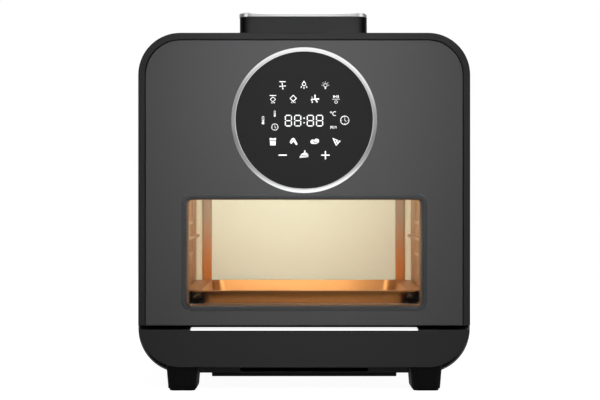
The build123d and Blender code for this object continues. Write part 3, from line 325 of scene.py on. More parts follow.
class Drawing:
    """Flat shapes in a vertical plane, in millimetres about a centre, kept in one bmesh."""

    def __init__(self):
        self.bm = bmesh.new()

    def place(self, verts, x, z, turn=0.0):
        moved = Matrix.Translation((x, z, 0.0)) @ Matrix.Rotation(math.radians(turn), 4, "Z")
        bmesh.ops.transform(self.bm, matrix=moved, verts=verts)

    def bar(self, x, z, width, height, turn=0.0):
        made = bmesh.ops.create_grid(self.bm, x_segments=1, y_segments=1, size=0.5)["verts"]
        bmesh.ops.scale(self.bm, vec=(width, height, 1.0), verts=made)
        self.place(made, x, z, turn)

    def disc(self, x, z, radius, stretch=1.0, turn=0.0):
        made = bmesh.ops.create_circle(self.bm, cap_ends=True, segments=20, radius=radius)["verts"]
        bmesh.ops.scale(self.bm, vec=(stretch, 1.0, 1.0), verts=made)
        self.place(made, x, z, turn)

    def ring(self, x, z, radius, line, segments=28, turn=0.0):
        outer = bmesh.ops.create_circle(self.bm, segments=segments, radius=radius)["verts"]
        inner = bmesh.ops.create_circle(self.bm, segments=segments, radius=radius - line)["verts"]
        edges = list({edge for vert in outer + inner for edge in vert.link_edges})
        bmesh.ops.bridge_loops(self.bm, edges=edges)
        self.place(outer + inner, x, z, turn)

    def arc(self, x, z, radius, line, start, sweep):
        inside = self.bm.verts.new((radius - line, 0.0, 0.0))
        outside = self.bm.verts.new((radius, 0.0, 0.0))
        edge = self.bm.edges.new((inside, outside))
        made = bmesh.ops.spin(
            self.bm, geom=[inside, outside, edge], cent=(0, 0, 0), axis=(0, 0, 1),
            angle=math.radians(sweep), steps=18)
        verts = {inside, outside}
        for face in self.bm.faces:
            if inside in face.verts or outside in face.verts:
                verts.update(face.verts)
        grown = True
        while grown:
            linked = {other for vert in verts for face in vert.link_faces for other in face.verts}
            grown = not linked <= verts
            verts |= linked
        self.place(list(verts), x, z, start)

    def shape(self, points, x, z, turn=0.0):
        verts = [self.bm.verts.new((px, pz, 0.0)) for px, pz in points]
        self.bm.faces.new(verts)
        self.place(verts, x, z, turn)

    def blades(self, x, z, radius, turns, line):
        """Fan blades that swell towards their tips."""
        for turn in turns:
            angle = math.radians(turn)
            for reach, width in ((0.3, line), (0.55, line * 1.15), (0.78, line * 1.3)):
                self.disc(x + radius * reach * math.cos(angle), z + radius * reach * math.sin(angle),
                          width * 0.62, radius * 0.32 / width, turn)
        self.disc(x, z, line * 0.8)

    def pill(self, x, z, width, height, turn=0.0):
        """A bar with round ends."""
        self.bar(x, z, width - height, height, turn)
        reach = (width - height) / 2
        angle = math.radians(turn)
        for side in (-1, 1):
            self.disc(x + side * reach * math.cos(angle), z + side * reach * math.sin(angle),
                      height / 2)

    def finish(self, centre, face_y, thickness):
        """Stand the drawing up in front of a face and give it thickness."""
        faces = list(self.bm.faces)
        bmesh.ops.recalc_face_normals(self.bm, faces=faces)
        made = bmesh.ops.extrude_face_region(self.bm, geom=faces)["geom"]
        raised = [item for item in made if isinstance(item, bmesh.types.BMVert)]
        bmesh.ops.translate(self.bm, vec=(0.0, 0.0, thickness / MM), verts=raised)
        bmesh.ops.scale(self.bm, vec=(MM, MM, MM), verts=self.bm.verts)
        stand = Matrix.Translation((centre.x, face_y, centre.z)) @ Matrix.Rotation(math.pi / 2, 4, "X")
        bmesh.ops.transform(self.bm, matrix=stand, verts=self.bm.verts)
        bmesh.ops.recalc_face_normals(self.bm, faces=self.bm.faces)
        return self.bm


def draw_segment(pen, x, z, length, line, turn):
    """One bar of a digit, its ends cut to points."""
    half, tip = length / 2, line / 2
    pen.shape([(-half, 0), (tip - half, tip), (half - tip, tip), (half, 0), (half - tip, -tip),
               (tip - half, -tip)], x, z, turn)


def draw_digit(pen, x, z, width, height, line):
    """A figure eight of seven cut bars."""
    across = width - line * 2.0
    tall = (height - line) / 2
    for level in (-1, 0, 1):
        draw_segment(pen, x, z + level * tall, across, line, 0)
        if level:
            for side in (-1, 1):
                draw_segment(pen, x + side * (width - line) / 2, z + level * tall / 2,
                             tall - line * 0.7, line, 90)


def draw_thermometer(pen, x, z, height):
    """A thin tube with a round top, filled from its bulb to the middle."""
    line = height * 0.05
    half = height * 0.12
    for side in (-1, 1):
        pen.bar(x + side * (half - line / 2), z + height * 0.08, line, height * 0.5)
    pen.arc(x, z + height * 0.33, half, line, 0, 180)
    pen.bar(x, z - height * 0.14, half * 0.6, height * 0.36)
    pen.disc(x, z - height * 0.34, half * 1.2)


def draw_clock(pen, x, z, radius):
    line = radius * 0.13
    pen.ring(x, z, radius, line)
    for turn in (0, 90, 180, 270):
        angle = math.radians(turn)
        pen.bar(x + radius * 0.72 * math.cos(angle), z + radius * 0.72 * math.sin(angle),
                radius * 0.2, line * 0.8, turn)
    pen.bar(x, z + radius * 0.22, line * 0.8, radius * 0.5)
    pen.bar(x + radius * 0.16, z - radius * 0.14, radius * 0.5, line * 0.9, -42)


def draw_warming(pen, x, z, half):
    """An open diamond over a row of short slanted lines."""
    pen.ring(x, z, half, half * 0.24, 4)
    for step in (-1, 0, 1):
        pen.bar(x + step * half * 0.5, z - half - 0.5, half * 0.4, 0.5, 60)


def draw_top_row(pen, z):
    """Fan under a bar, steam drop, lamp."""
    pen.bar(-21.7, z + 3.6, 6.2, 1.0)
    pen.blades(-21.7, z - 0.9, 3.5, (5, 97, 185, 277), 0.62)
    pen.ring(-0.2, z + 1.2, 2.0, 0.55)
    pen.shape([(-1.5, 0.0), (1.5, 0.0), (0.0, 2.3)], -0.2, z + 2.4)
    for x, drop, turn in ((-2.7, 1.7, 75), (0.0, 2.7, 90), (2.7, 1.7, 105)):
        pen.pill(x - 0.2, z - drop, 2.0, 0.8, turn)
    pen.ring(21.2, z, 1.9, 0.42)
    pen.bar(21.2, z - 2.7, 1.2, 1.8)
    for turn in (0, 45, 90, 135, 180):
        angle = math.radians(turn)
        pen.bar(21.2 + 3.3 * math.cos(angle), z + 3.3 * math.sin(angle), 1.1, 0.35, turn)


def draw_upper_row(pen, z):
    """Two warming symbols, a large fan, play and pause over a power sign."""
    pen.bar(-31.3, z + 3.7, 6.5, 0.8)
    draw_warming(pen, -31.3, z - 0.2, 2.9)
    draw_warming(pen, -11.0, z + 0.8, 3.5)
    pen.blades(10.8, z + 0.2, 4.4, (90, 0, -55, 195), 1.0)
    pen.bar(7.9, z + 0.8, 0.45, 3.6, 8)
    pen.disc(8.0, z - 2.9, 0.7)
    pen.shape([(-1.5, -1.4), (1.5, 0.0), (-1.5, 1.4)], 30.6, z + 2.6)
    pen.bar(32.7, z + 2.6, 0.7, 2.7)
    pen.bar(34.1, z + 2.6, 0.7, 2.7)
    pen.bar(31.9, z, 7.6, 0.35)
    pen.arc(31.9, z - 2.8, 1.6, 0.4, 125, 290)
    pen.bar(31.9, z - 1.7, 0.4, 1.5)


def draw_middle_row(pen):
    """Figures with a colon, thermometers, clocks and the unit marks."""
    for x in (-15.8, -6.5, 6.1, 15.4):
        draw_digit(pen, x, -0.5, 7.1, 11.6, 1.0)
    for z in (2.0, -2.6):
        pen.disc(-0.1, z, 0.7)
    draw_thermometer(pen, -29.5, 6.6, 6.6)
    draw_thermometer(pen, -41.2, 0.0, 8.8)
    draw_clock(pen, 40.6, -0.1, 4.5)
    draw_clock(pen, -29.4, -6.9, 3.4)
    pen.ring(26.8, 7.9, 0.9, 0.45)
    pen.arc(30.5, 6.5, 2.3, 0.6, 50, 260)
    for x in (26.6, 28.9, 30.6, 32.0):
        pen.bar(x, -7.2, 0.45, 3.0 if x < 30 else 2.1)
    for side in (-1, 1):
        pen.bar(27.75 + side * 0.55, -6.7, 0.4, 2.2, side * -25)
    pen.bar(31.3, -6.3, 1.4, 0.45)


def draw_lower_row(pen, cuts, z):
    """A bucket of fries, a wing, a steak and a slice of pizza, with what is cut out of them."""
    pen.shape([(-2.7, -3.9), (2.7, -3.9), (3.1, 1.8), (-3.1, 1.8)], -31.4, z)
    for x, rise in ((-2.1, 2.3), (0.0, 1.9), (2.1, 2.3)):
        pen.disc(x - 31.4, z + rise, 1.25)
    cuts.bar(-31.4, z + 0.6, 5.6, 0.7)
    pen.shape([(-3.9, -0.8), (-1.8, 2.6), (-0.3, 3.6), (1.2, 2.9), (4.1, -2.6), (3.4, -3.6), (2.2, -3.2),
               (0.2, -0.2), (-2.0, -2.4), (-2.8, -2.0)], -10.8, z)
    cuts.bar(-12.4, z + 0.2, 4.2, 0.6, 52)
    pen.disc(8.6, z - 0.3, 2.2, 1.1)
    pen.disc(12.3, z + 0.4, 2.4, 1.05)
    pen.bar(10.5, z - 1.3, 4.0, 2.4)
    cuts.arc(11.4, z + 0.7, 2.3, 0.55, 175, 140)
    pen.shape([(-3.9, 3.6), (4.5, 0.3), (-0.1, -4.6)], 32.0, z)
    for x, rise in ((-0.9, 0.6), (1.9, 0.3), (0.2, -1.7)):
        cuts.disc(32.0 + x, z + rise, 0.8)


def draw_bottom_row(pen, cuts, z):
    """Minus, a slice of cake, plus."""
    pen.pill(-21.7, z, 8.7, 1.25)
    pen.shape([(-4.3, -3.2), (4.3, -2.2), (4.3, 0.3), (2.6, 1.9), (0.4, 2.6), (-2.2, 1.0), (-4.3, -1.3)],
              -0.2, z + 0.3)
    pen.disc(0.6, z + 4.0, 0.75)
    cuts.bar(-0.2, z - 0.2, 8.2, 0.6, 8)
    cuts.bar(-0.2, z - 1.7, 8.2, 0.5, 7)
    pen.pill(21.2, z, 8.6, 1.25)
    pen.pill(21.2, z, 8.6, 1.25, 90)


def draw_symbols(pen, cuts):
    """All symbols about the display's centre, x to the right and z up."""
    draw_top_row(pen, 34.9)
    draw_upper_row(pen, 21.0)
    draw_middle_row(pen)
    draw_lower_row(pen, cuts, -21.3)
    draw_bottom_row(pen, cuts, -35.0)


# Rounded frames, for the bezel, the panel's gap and the tunnel

def rounded_loop(centre, half_w, half_h, radius, steps=10):
    """Points of a rounded rectangle in the front plane, as x and z."""
    points = []
    for corner in range(4):
        side_x = (1, -1, -1, 1)[corner]
        side_z = (1, 1, -1, -1)[corner]
        for step in range(steps + 1):
            angle = math.pi / 2 * (corner + step / steps)
            points.append((centre.x + side_x * (half_w - radius) + radius * math.cos(angle),
                           centre.z + side_z * (half_h - radius) + radius * math.sin(angle)))
    return points


def rounded_frame(centre, half_w, half_h, radius, profile):
    """A closed frame: each profile point gives how far out from the size, and the depth."""
    bm = bmesh.new()
    loops = []
    for out, y in profile:
        points = rounded_loop(centre, half_w + out, half_h + out, max(radius + out, 0.0002))
        loops.append([bm.verts.new((x, y, z)) for x, z in points])
    # The faces are listed here, because bridge_loops gave the bezel another shape
    count = len(loops[0])
    for loop, following in zip(loops, loops[1:] + loops[:1]):
        for index in range(count):
            after = (index + 1) % count
            bm.faces.new((loop[index], loop[after], following[after], following[index]))
    bmesh.ops.remove_doubles(bm, verts=bm.verts, dist=1e-6)
    bmesh.ops.recalc_face_normals(bm, faces=bm.faces)
    return bm


def open_frame(centre, half_w, low_z, high_z, radius, profile, steps=10):
    """An arch of the same kind, open at its foot, with its two ends capped."""
    bm = bmesh.new()
    loops = []
    for out, y in profile:
        reach, top, bend = half_w + out, high_z + out, radius + out
        points = [(-reach, low_z)]
        for step in range(steps + 1):
            angle = math.pi - math.pi / 2 * step / steps
            points.append((bend - reach + bend * math.cos(angle), top - bend + bend * math.sin(angle)))
        points += [(-x, z) for x, z in reversed(points)]
        loops.append([bm.verts.new((centre.x + x, y, z)) for x, z in points])
    chains = [[bm.edges.new(pair) for pair in zip(loop, loop[1:])] for loop in loops]
    for chain, following in zip(chains, chains[1:] + chains[:1]):
        bmesh.ops.bridge_loops(bm, edges=chain + following)
    for end in (0, -1):
        bm.faces.new([loop[end] for loop in loops])
    bmesh.ops.remove_doubles(bm, verts=bm.verts, dist=1e-6)
    bmesh.ops.recalc_face_normals(bm, faces=bm.faces)
    return bm


def block(bm, low, high, bevel=0.0):
    """A box between two corners, its edges rounded."""
    made = bmesh.ops.create_cube(bm, size=1.0)["verts"]
    size = [b - a for a, b in zip(low, high)]
    bmesh.ops.scale(bm, vec=size, verts=made)
    bmesh.ops.translate(bm, vec=[(a + b) / 2 for a, b in zip(low, high)], verts=made)
    if bevel:
        edges = list({edge for vert in made for edge in vert.link_edges})
        bmesh.ops.bevel(bm, geom=edges, offset=bevel, segments=3, profile=0.5, affect="EDGES",
                        material=-1)


# The settings that a user would change

class FryerSettings(bpy.types.PropertyGroup):
    panel_grey: bpy.props.FloatVectorProperty(
        name="Front panel", description="Paint of the lighter panel in the door", subtype="COLOR", size=4,
        min=0.0, max=1.0, default=(0.0585, 0.0585, 0.06, 1.0))
    frame_grey: bpy.props.FloatVectorProperty(
        name="Door frame", description="Moulded border round the door", subtype="COLOR", size=4,
        min=0.0, max=1.0, default=(0.021, 0.021, 0.0215, 1.0))
    casing_grey: bpy.props.FloatVectorProperty(
        name="Casing", description="Painted steel wrap round the body", subtype="COLOR", size=4,
        min=0.0, max=1.0, default=(0.085, 0.085, 0.087, 1.0))
    trim_grey: bpy.props.FloatVectorProperty(
        name="Trim", description="Moulded skirt under the door", subtype="COLOR", size=4,
        min=0.0, max=1.0, default=(0.0175, 0.0175, 0.018, 1.0))
    cream: bpy.props.FloatVectorProperty(
        name="Cavity cream", description="Enamel of the cavity's back wall", subtype="COLOR", size=4,
        min=0.0, max=1.0, default=(0.84, 0.82, 0.70, 1.0))
    sand: bpy.props.FloatVectorProperty(
        name="Cavity sand", description="Enamel where the sides meet the back wall", subtype="COLOR", size=4,
        min=0.0, max=1.0, default=(0.82, 0.74, 0.58, 1.0))
    bronze: bpy.props.FloatVectorProperty(
        name="Cavity bronze", description="Enamel of the embossed side panels", subtype="COLOR", size=4,
        min=0.0, max=1.0, default=(0.36, 0.18, 0.085, 1.0))
    # The two post colours are painted shade of the cavity's back corners: brown at the foot, paler at the
    # top
    post_shade_brown: bpy.props.FloatVectorProperty(
        name="Corner posts", description="Enamel at the foot of the two posts beside the back wall",
        subtype="COLOR", size=4, min=0.0, max=1.0, default=(0.60, 0.20, 0.055, 1.0))
    post_shade_pale: bpy.props.FloatVectorProperty(
        name="Corner posts, top", description="Paler enamel at the top of the two posts",
        subtype="COLOR", size=4, min=0.0, max=1.0, default=(0.42, 0.30, 0.22, 1.0))
    panel_corner: bpy.props.FloatProperty(
        name="Panel corner", description="Radius of the front panel's upper corners",
        default=0.0355, min=0.005, max=0.08, unit="LENGTH")
    # The dark joint is a black strip, painted shade of the gap between border and panel
    panel_groove: bpy.props.FloatProperty(
        name="Panel groove", description="Width of the dark joint between border and panel",
        default=0.0013, min=0.0004, max=0.004, unit="LENGTH")
    bezel_crown: bpy.props.FloatProperty(
        name="Bezel crown", description="How far the window bezel swells in front of the panel",
        default=0.0006, min=0.0, max=0.0009, unit="LENGTH")
    post_inset: bpy.props.FloatProperty(
        name="Post inset", description="From the cavity's side to the outer edge of a corner post",
        default=0.0072, min=0.002, max=0.04, unit="LENGTH")
    post_width: bpy.props.FloatProperty(
        name="Post width", description="Width of a corner post",
        default=0.0108, min=0.002, max=0.04, unit="LENGTH")
    post_depth: bpy.props.FloatProperty(
        name="Post depth", description="How far a corner post stands off the back wall",
        default=0.004, min=0.0005, max=0.01, unit="LENGTH")
    emboss: bpy.props.FloatProperty(
        name="Side embossing", description="How far the pressed side panels stand off the cavity's side",
        default=0.0012, min=0.0002, max=0.003, unit="LENGTH")
    ring_edge: bpy.props.FloatProperty(
        name="Ring edge", description="Radius worked on the display ring's inner edge",
        default=0.0004, min=0.0002, max=0.0008, unit="LENGTH")
    lip_half: bpy.props.FloatProperty(
        name="Lip half width", description="Half the width of the lip under the drip tray's face",
        default=0.0927, min=0.02, max=0.1, unit="LENGTH")
    lip_drop: bpy.props.FloatProperty(
        name="Lip drop", description="How far the lip hangs below the drip tray",
        default=0.0016, min=0.0005, max=0.005, unit="LENGTH")
    symbol_t: bpy.props.FloatProperty(
        name="Symbol thickness", description="How far the printed symbols stand off the lens",
        default=0.00015, min=0.00005, max=0.0005, unit="LENGTH")
    camera_distance: bpy.props.FloatProperty(
        name="Camera distance", description="From the door's face to the camera",
        default=1.5, min=0.5, max=5.0, unit="LENGTH")
    camera_height: bpy.props.FloatProperty(
        name="Camera height", description="Height of the camera over the floor",
        default=0.1913, min=0.0, max=2.0, unit="LENGTH")
    camera_side: bpy.props.FloatProperty(
        name="Camera offset", description="How far the camera stands to the left of the middle",
        default=0.0042, min=-1.0, max=1.0, unit="LENGTH")
    lamp_power: bpy.props.FloatProperty(
        name="Cavity lamp", description="Power of the warm lamp in the cavity",
        default=0.44, min=0.0, max=50.0, unit="POWER")


def settings_now():
    return bpy.context.scene.fryer_settings


class FRYER_OT_groups(bpy.types.Operator):
    """Build the shader node groups that the finishes share"""
    bl_idname = "fryer.groups"
    bl_label = "Shared effects"

    def execute(self, context):
        make_paint_grain()
        make_brushed_lines()
        make_edge_fade()
        return {"FINISHED"}


class FRYER_OT_door(bpy.types.Operator):
    """Finish the door: frame, panel, groove, bezel, glasses, tunnel, seal and hinges"""
    bl_idname = "fryer.door"
    bl_label = "Door"

    def execute(self, context):
        own = settings_now()
        set_material("door_frame", paint("door_frame_paint", shade(own.frame_grey, 0.94),
                                         shade(own.frame_grey, 1.06), (0.4, 0.5), specular=0.12))
        set_material("door_front_panel", paint("front_panel_paint", shade(own.panel_grey, 0.95),
                                               shade(own.panel_grey, 1.05), (0.36, 0.46), 1400.0, 3.0,
                                               specular=0.12))
        low, high = corners("door_front_panel")
        # A black strip in the joint between border and panel: painted shade of the gap behind the panel's
        # edge
        groove_shade_paint = paint("groove_painted_shade", grey(0.002), grey(0.003), (0.7, 0.8), specular=0.05)
        # The joint's face lies this far before and behind the panel's, so neither hides the other
        lift = 0.00006
        half = (high.x - low.x) / 2
        across = own.panel_groove / 2
        centre = Vector(((low.x + high.x) / 2, 0.0, 0.0))
        groove = open_frame(centre, half, low.z, high.z, own.panel_corner,
                            [(-across, low.y + lift), (-across, low.y - lift), (across, low.y - lift),
                             (across, low.y + lift)])
        add_piece("panel_groove", groove, "door", groove_shade_paint)
        self.make_bezel(own)
        set_material("window_tunnel", paint("tunnel_enamel", shade(own.bronze, 0.4),
                                            shade(own.bronze, 0.6), (0.4, 0.5), 500.0, 12.0))
        set_material("outer_glass", clear_sheet("outer_glass_sheet", grey(0.02), 0.04, 0.03))
        set_material("inner_glass", clear_sheet("inner_glass_sheet", grey(0.02), 0.03, 0.03))
        set_material("door_inner_panel", metal("inner_panel_steel", grey(0.42), grey(0.58)))
        set_material("door_seal", paint("seal_rubber", grey(0.012), grey(0.02), (0.6, 0.75), 500.0))
        set_material("door_magnet", metal("magnet_plate", grey(0.3), grey(0.4)))
        set_material("door_sensor", paint("sensor_black", grey(0.02), grey(0.03)))
        steel = metal("hinge_steel", grey(0.45), grey(0.6), (0.22, 0.35))
        for side in ("left", "right"):
            set_material(side + "_hinge_pin", steel)
            set_material(side + "_hinge_arm", steel)
        return {"FINISHED"}

    def make_bezel(self, own):
        """A bezel with a crowned face and soft edges, over the glass's rim and its seat."""
        low, high = corners("window_bezel")
        glass_low, glass_high = corners("outer_glass")
        centre = (glass_low + glass_high) / 2
        half_w = (glass_high.x - glass_low.x) / 2
        half_h = (glass_high.z - glass_low.z) / 2
        width = (high.x - low.x) / 2 - half_w
        face, crest, back = low.y, low.y - own.bezel_crown, high.y
        # The seat reaches this far in behind the glass's rim
        seat = -0.0009
        rim_gap = 0.0002
        corner_radius = 0.005
        profile = [(0.0, glass_low.y + rim_gap)]
        steps = 10
        for step in range(steps + 1):
            share = step / steps
            profile.append((width * share, face + (crest - face) * math.sin(math.pi * share) ** 0.7))
        profile += [(width, back), (seat, back), (seat, glass_high.y), (0.0, glass_high.y)]
        bezel = rounded_frame(centre, half_w, half_h, corner_radius, profile)
        plastic = paint("bezel_plastic", (0.041, 0.042, 0.043, 1.0), (0.046, 0.047, 0.049, 1.0),
                        (0.42, 0.5), specular=0.12)
        piece = add_piece("bezel_moulding", bezel, "door", plastic)
        smooth_by_angle(piece)
        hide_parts("window_bezel")
        piece.data.materials.append(paint("seat_enamel", shade(own.bronze, 0.4), shade(own.bronze, 0.6),
                                          (0.4, 0.5), 500.0, 12.0))
        for polygon in piece.data.polygons:
            if polygon.center.y > glass_high.y - rim_gap:
                polygon.material_index = 1


class FRYER_OT_display(bpy.types.Operator):
    """Make the bright ring, the dark lens and its lit symbols"""
    bl_idname = "fryer.display"
    bl_label = "Display"

    def execute(self, context):
        own = settings_now()
        low, high = corners("display_ring")
        centre = (low + high) / 2
        outer = (high.x - low.x) / 2
        lens_low, lens_high = corners("display_lens")
        inner = (lens_high.x - lens_low.x) / 2
        bm = bmesh.new()
        slope = corners("door_front_panel")[0].y - low.y
        edge = own.ring_edge
        points = [(outer, high.y), (outer, low.y + slope)]
        steps = 6
        for step in range(steps + 1):
            share = step / steps
            rise = slope * (math.sin(math.pi / 2 * share) * 0.45 + share * 0.55)
            points.append((outer - (outer - inner - edge) * share, low.y + slope - rise))
        for step in range(1, steps + 1):
            angle = math.pi / 2 * step / steps
            points.append((inner + edge - edge * math.sin(angle), low.y + edge - edge * math.cos(angle)))
        points.append((inner, high.y))
        verts = [bm.verts.new((centre.x + radius, y, centre.z)) for radius, y in points]
        edges = [bm.edges.new(pair) for pair in zip(verts, verts[1:] + verts[:1])]
        bmesh.ops.spin(bm, geom=verts + edges, cent=centre, axis=(0, 1, 0), angle=2 * math.pi,
                       steps=144, use_merge=True)
        bmesh.ops.remove_doubles(bm, verts=bm.verts, dist=1e-6)
        bmesh.ops.recalc_face_normals(bm, faces=bm.faces)
        bright = metal("ring_bright", grey(0.86), grey(0.92), (0.14, 0.2), (60.0, 60.0, 60.0), 0.005)
        ring = add_piece("display_bright_ring", bm, "door", bright)
        smooth_by_angle(ring)
        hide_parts("display_ring")
        lens = paint("lens_black", grey(0.0125), grey(0.0133), (0.34, 0.4), 1200.0, 3.0, 0.01,
                     specular=0.12)
        set_material("display_lens", lens)
        pen, cuts = Drawing(), Drawing()
        draw_symbols(pen, cuts)
        marks = pen.finish(centre, lens_low.y, own.symbol_t)
        add_piece("display_symbols", marks, "door",
                  glowing("symbol_white", (0.8, 0.8, 0.8, 1.0), 0.3))
        # The cuts wear the lens's black and stand a little before the symbols
        gaps = cuts.finish(centre, lens_low.y, own.symbol_t * 1.4)
        add_piece("display_symbol_cuts", gaps, "door", lens)
        set_material("display_board", paint("display_board_green", (0.01, 0.1, 0.04, 1.0),
                                            (0.02, 0.14, 0.06, 1.0)))
        set_material("digit_block", paint("digit_block_black", grey(0.02), grey(0.03)))
        return {"FINISHED"}


class FRYER_OT_body(bpy.types.Operator):
    """Finish the body: casing, front frame, trim, gutter, base, cover and feet"""
    bl_idname = "fryer.body"
    bl_label = "Body"

    def execute(self, context):
        own = settings_now()
        set_material("outer_casing", paint("casing_paint", shade(own.casing_grey, 0.9),
                                           shade(own.casing_grey, 1.1), (0.36, 0.5), 1100.0, 4.0))
        set_material("front_frame", paint("front_frame_black", grey(0.004), grey(0.006), (0.5, 0.6),
                                          specular=0.05))
        set_material("front_trim", paint("trim_plastic", shade(own.trim_grey, 0.92),
                                         shade(own.trim_grey, 1.08), (0.36, 0.48), specular=0.15))
        set_material("drip_tray", paint("drip_tray_plastic", shade(own.trim_grey, 0.5),
                                        shade(own.trim_grey, 0.65), (0.4, 0.55), specular=0.1))
        gutter = metal("gutter_painted_glow", grey(0.9), grey(0.98), (0.28, 0.4))
        gutter_glow_shader = gutter.node_tree.nodes["Principled BSDF"]
        # The gutter glows white though it is no lamp: a painted reflection, since the gap under the door
        # keeps the light from it
        gutter_glow_shader.inputs["Emission Color"].default_value = grey(1.0)
        gutter_glow_shader.inputs["Emission Strength"].default_value = 0.9
        set_material("drip_gutter", gutter)
        self.make_lip(own)
        set_material("rear_cover", paint("rear_cover_plastic", grey(0.028), grey(0.04), (0.45, 0.6), 700.0))
        set_material("base_pan", metal("base_pan_steel", grey(0.35), grey(0.45)))
        set_material("cover_bosses", metal("boss_steel", grey(0.4), grey(0.5)))
        set_material("rear_screws", metal("screw_steel", grey(0.35), grey(0.5)))
        set_material("cord_gland", paint("gland_black", grey(0.015), grey(0.02), (0.5, 0.6)))
        foot = paint("foot_plastic", grey(0.003), grey(0.004), (0.5, 0.6), specular=0.04)
        for end in ("front", "rear"):
            for side in ("left", "right"):
                set_material(end + "_" + side + "_foot", foot)
        set_material("foot_pads", paint("pad_rubber", grey(0.004), grey(0.006), (0.7, 0.85), 400.0,
                                        specular=0.04))
        return {"FINISHED"}

    def make_lip(self, own):
        """The lip that hangs under the drip tray's face, along its front edge."""
        low = corners("drip_tray")[0]
        setback, thickness, overlap, rounding = 0.0001, 0.0059, 0.0025, 0.0004
        front = low.y + setback
        bm = bmesh.new()
        block(bm, (-own.lip_half, front, low.z - own.lip_drop),
              (own.lip_half, front + thickness, low.z + overlap), rounding)
        black = paint("lip_black", grey(0.003), grey(0.004), (0.5, 0.6), specular=0.04)
        add_piece("drip_tray_lip", bm, "drip_drawer", black)


class FRYER_OT_cavity(bpy.types.Operator):
    """Finish the cavity: liner, posts, embossed sides, rails, tray, heater, fan, lamp and probe"""
    bl_idname = "fryer.cavity"
    bl_label = "Cavity"

    def execute(self, context):
        own = settings_now()
        low, high = corners("cavity_liner")
        wall = 0.001
        half = (high.x - low.x) / 2 - wall
        back = high.y - wall
        floor, ceiling = low.z + wall, corners("heater_guard")[0].z
        set_material("cavity_liner", cavity_enamel("cavity_enamel", own, half, back))
        self.make_posts(own, half, back, floor, ceiling)
        self.make_embossing(own, half, low.y, back, ceiling)
        rails = paint("rail_bronze", shade(own.bronze, 1.0), shade(own.bronze, 1.4), (0.25, 0.35),
                      600.0, 20.0, 0.1, 0.5)
        for side in ("left", "right"):
            set_material(side + "_rack_rails", rails)
        set_material("baking_tray", paint("tray_gold", (0.36, 0.14, 0.035, 1.0), (0.42, 0.17, 0.045, 1.0),
                                          (0.3, 0.42), 600.0, 20.0, 0.1, 0.6))
        set_material("heater_guard", metal("guard_steel", grey(0.4), grey(0.55)))
        set_material("heating_element", paint("heater_sheath", (0.03, 0.026, 0.023, 1.0),
                                              (0.06, 0.05, 0.045, 1.0), (0.5, 0.65), 700.0))
        set_material("convection_fan", metal("fan_aluminium", grey(0.55), grey(0.7), (0.3, 0.45)))
        set_material("lamp_glass", clear_sheet("lamp_cover_glass", (1.0, 0.93, 0.8, 1.0), 0.35, 0.25))
        set_material("lamp_bulb", glowing("bulb_warm", (1.0, 0.78, 0.5, 1.0), 3.0))
        set_material("temperature_probe", metal("probe_steel", grey(0.5), grey(0.65)))
        set_material("steam_nozzle", metal("nozzle_brass", (0.5, 0.36, 0.12, 1), (0.65, 0.48, 0.2, 1)))
        return {"FINISHED"}

    def make_posts(self, own, half, back, floor, ceiling):
        """Two rounded brown posts that stand before the back wall's edges; their brown, paler towards the
        top, is painted shade of the cavity's back corners.
        """
        bm = bmesh.new()
        sunk = 0.0004
        for side in (-1, 1):
            outer = side * (half - own.post_inset)
            inner = outer - side * own.post_width
            block(bm, (min(outer, inner), back - own.post_depth, floor + sunk),
                  (max(outer, inner), back + sunk, ceiling - sunk), own.post_depth * 0.45)
        pale_from, pale_at = floor + 0.02, floor + 0.11
        # The posts fade from brown at the foot to paler at the top: painted corner shade
        enamel = paint("post_painted_corner_shade", own.post_shade_brown, own.post_shade_pale, (0.4, 0.5), 400.0, 14.0,
                       specular=0.15, fade=(UPWARD, pale_from, pale_at))
        smooth_by_angle(add_piece("cavity_posts", bm, "body", enamel))

    def make_embossing(self, own, half, front, back, ceiling):
        """Pressed panels in the side walls, in rows between the rails."""
        bm = bmesh.new()
        lowest_rail = round(corners("left_rack_rails")[0].z, 4)
        rows, columns = 5, 3
        gap = 0.0034
        margin, rise = 0.0135, 0.003
        covered = 0.69
        height = (ceiling - lowest_rail - margin) / rows
        length = ((back - front) * covered - margin) / columns
        sunk = 0.0003
        for side in (-1, 1):
            wall = side * (half + sunk)
            face = side * (half - own.emboss)
            for row in range(rows):
                for column in range(columns):
                    y = front + margin + column * length
                    z = lowest_rail + rise + row * height
                    block(bm, (min(wall, face), y + gap, z + gap / 2),
                          (max(wall, face), y + length - gap, z + height - gap / 2), own.emboss * 0.45)
        enamel = paint("emboss_enamel", shade(own.bronze, 0.8), shade(own.bronze, 1.3), (0.4, 0.5), 400.0,
                       18.0, specular=0.08)
        smooth_by_angle(add_piece("side_embossing", bm, "body", enamel))


class FRYER_OT_works(bpy.types.Operator):
    """Finish what sits between cavity and casing: fan, motor, steam and power parts"""
    bl_idname = "fryer.works"
    bl_label = "Works"

    def execute(self, context):
        steel = metal("works_steel", grey(0.4), grey(0.55))
        for node in ("fan_housing", "fan_motor", "motor_shaft", "steam_pipe"):
            set_material(node, steel)
        brass = metal("works_brass", (0.5, 0.36, 0.12, 1), (0.65, 0.48, 0.2, 1))
        for node in ("motor_bearings", "thermal_cutout"):
            set_material(node, brass)
        cast = paint("works_cast", grey(0.45), grey(0.6), (0.4, 0.55), 300.0, 8.0, 0.2, 0.9)
        for node in ("steam_generator", "lamp_holder"):
            set_material(node, cast)
        black = paint("works_black", grey(0.02), grey(0.03), (0.4, 0.55))
        for node in ("cooling_fan", "water_pump"):
            set_material(node, black)
        set_material("water_hoses", paint("hose_silicone", grey(0.5), grey(0.62), (0.3, 0.45), 200.0))
        set_material("power_board", paint("power_board_green", (0.01, 0.1, 0.04, 1.0),
                                          (0.02, 0.14, 0.06, 1.0)))
        return {"FINISHED"}


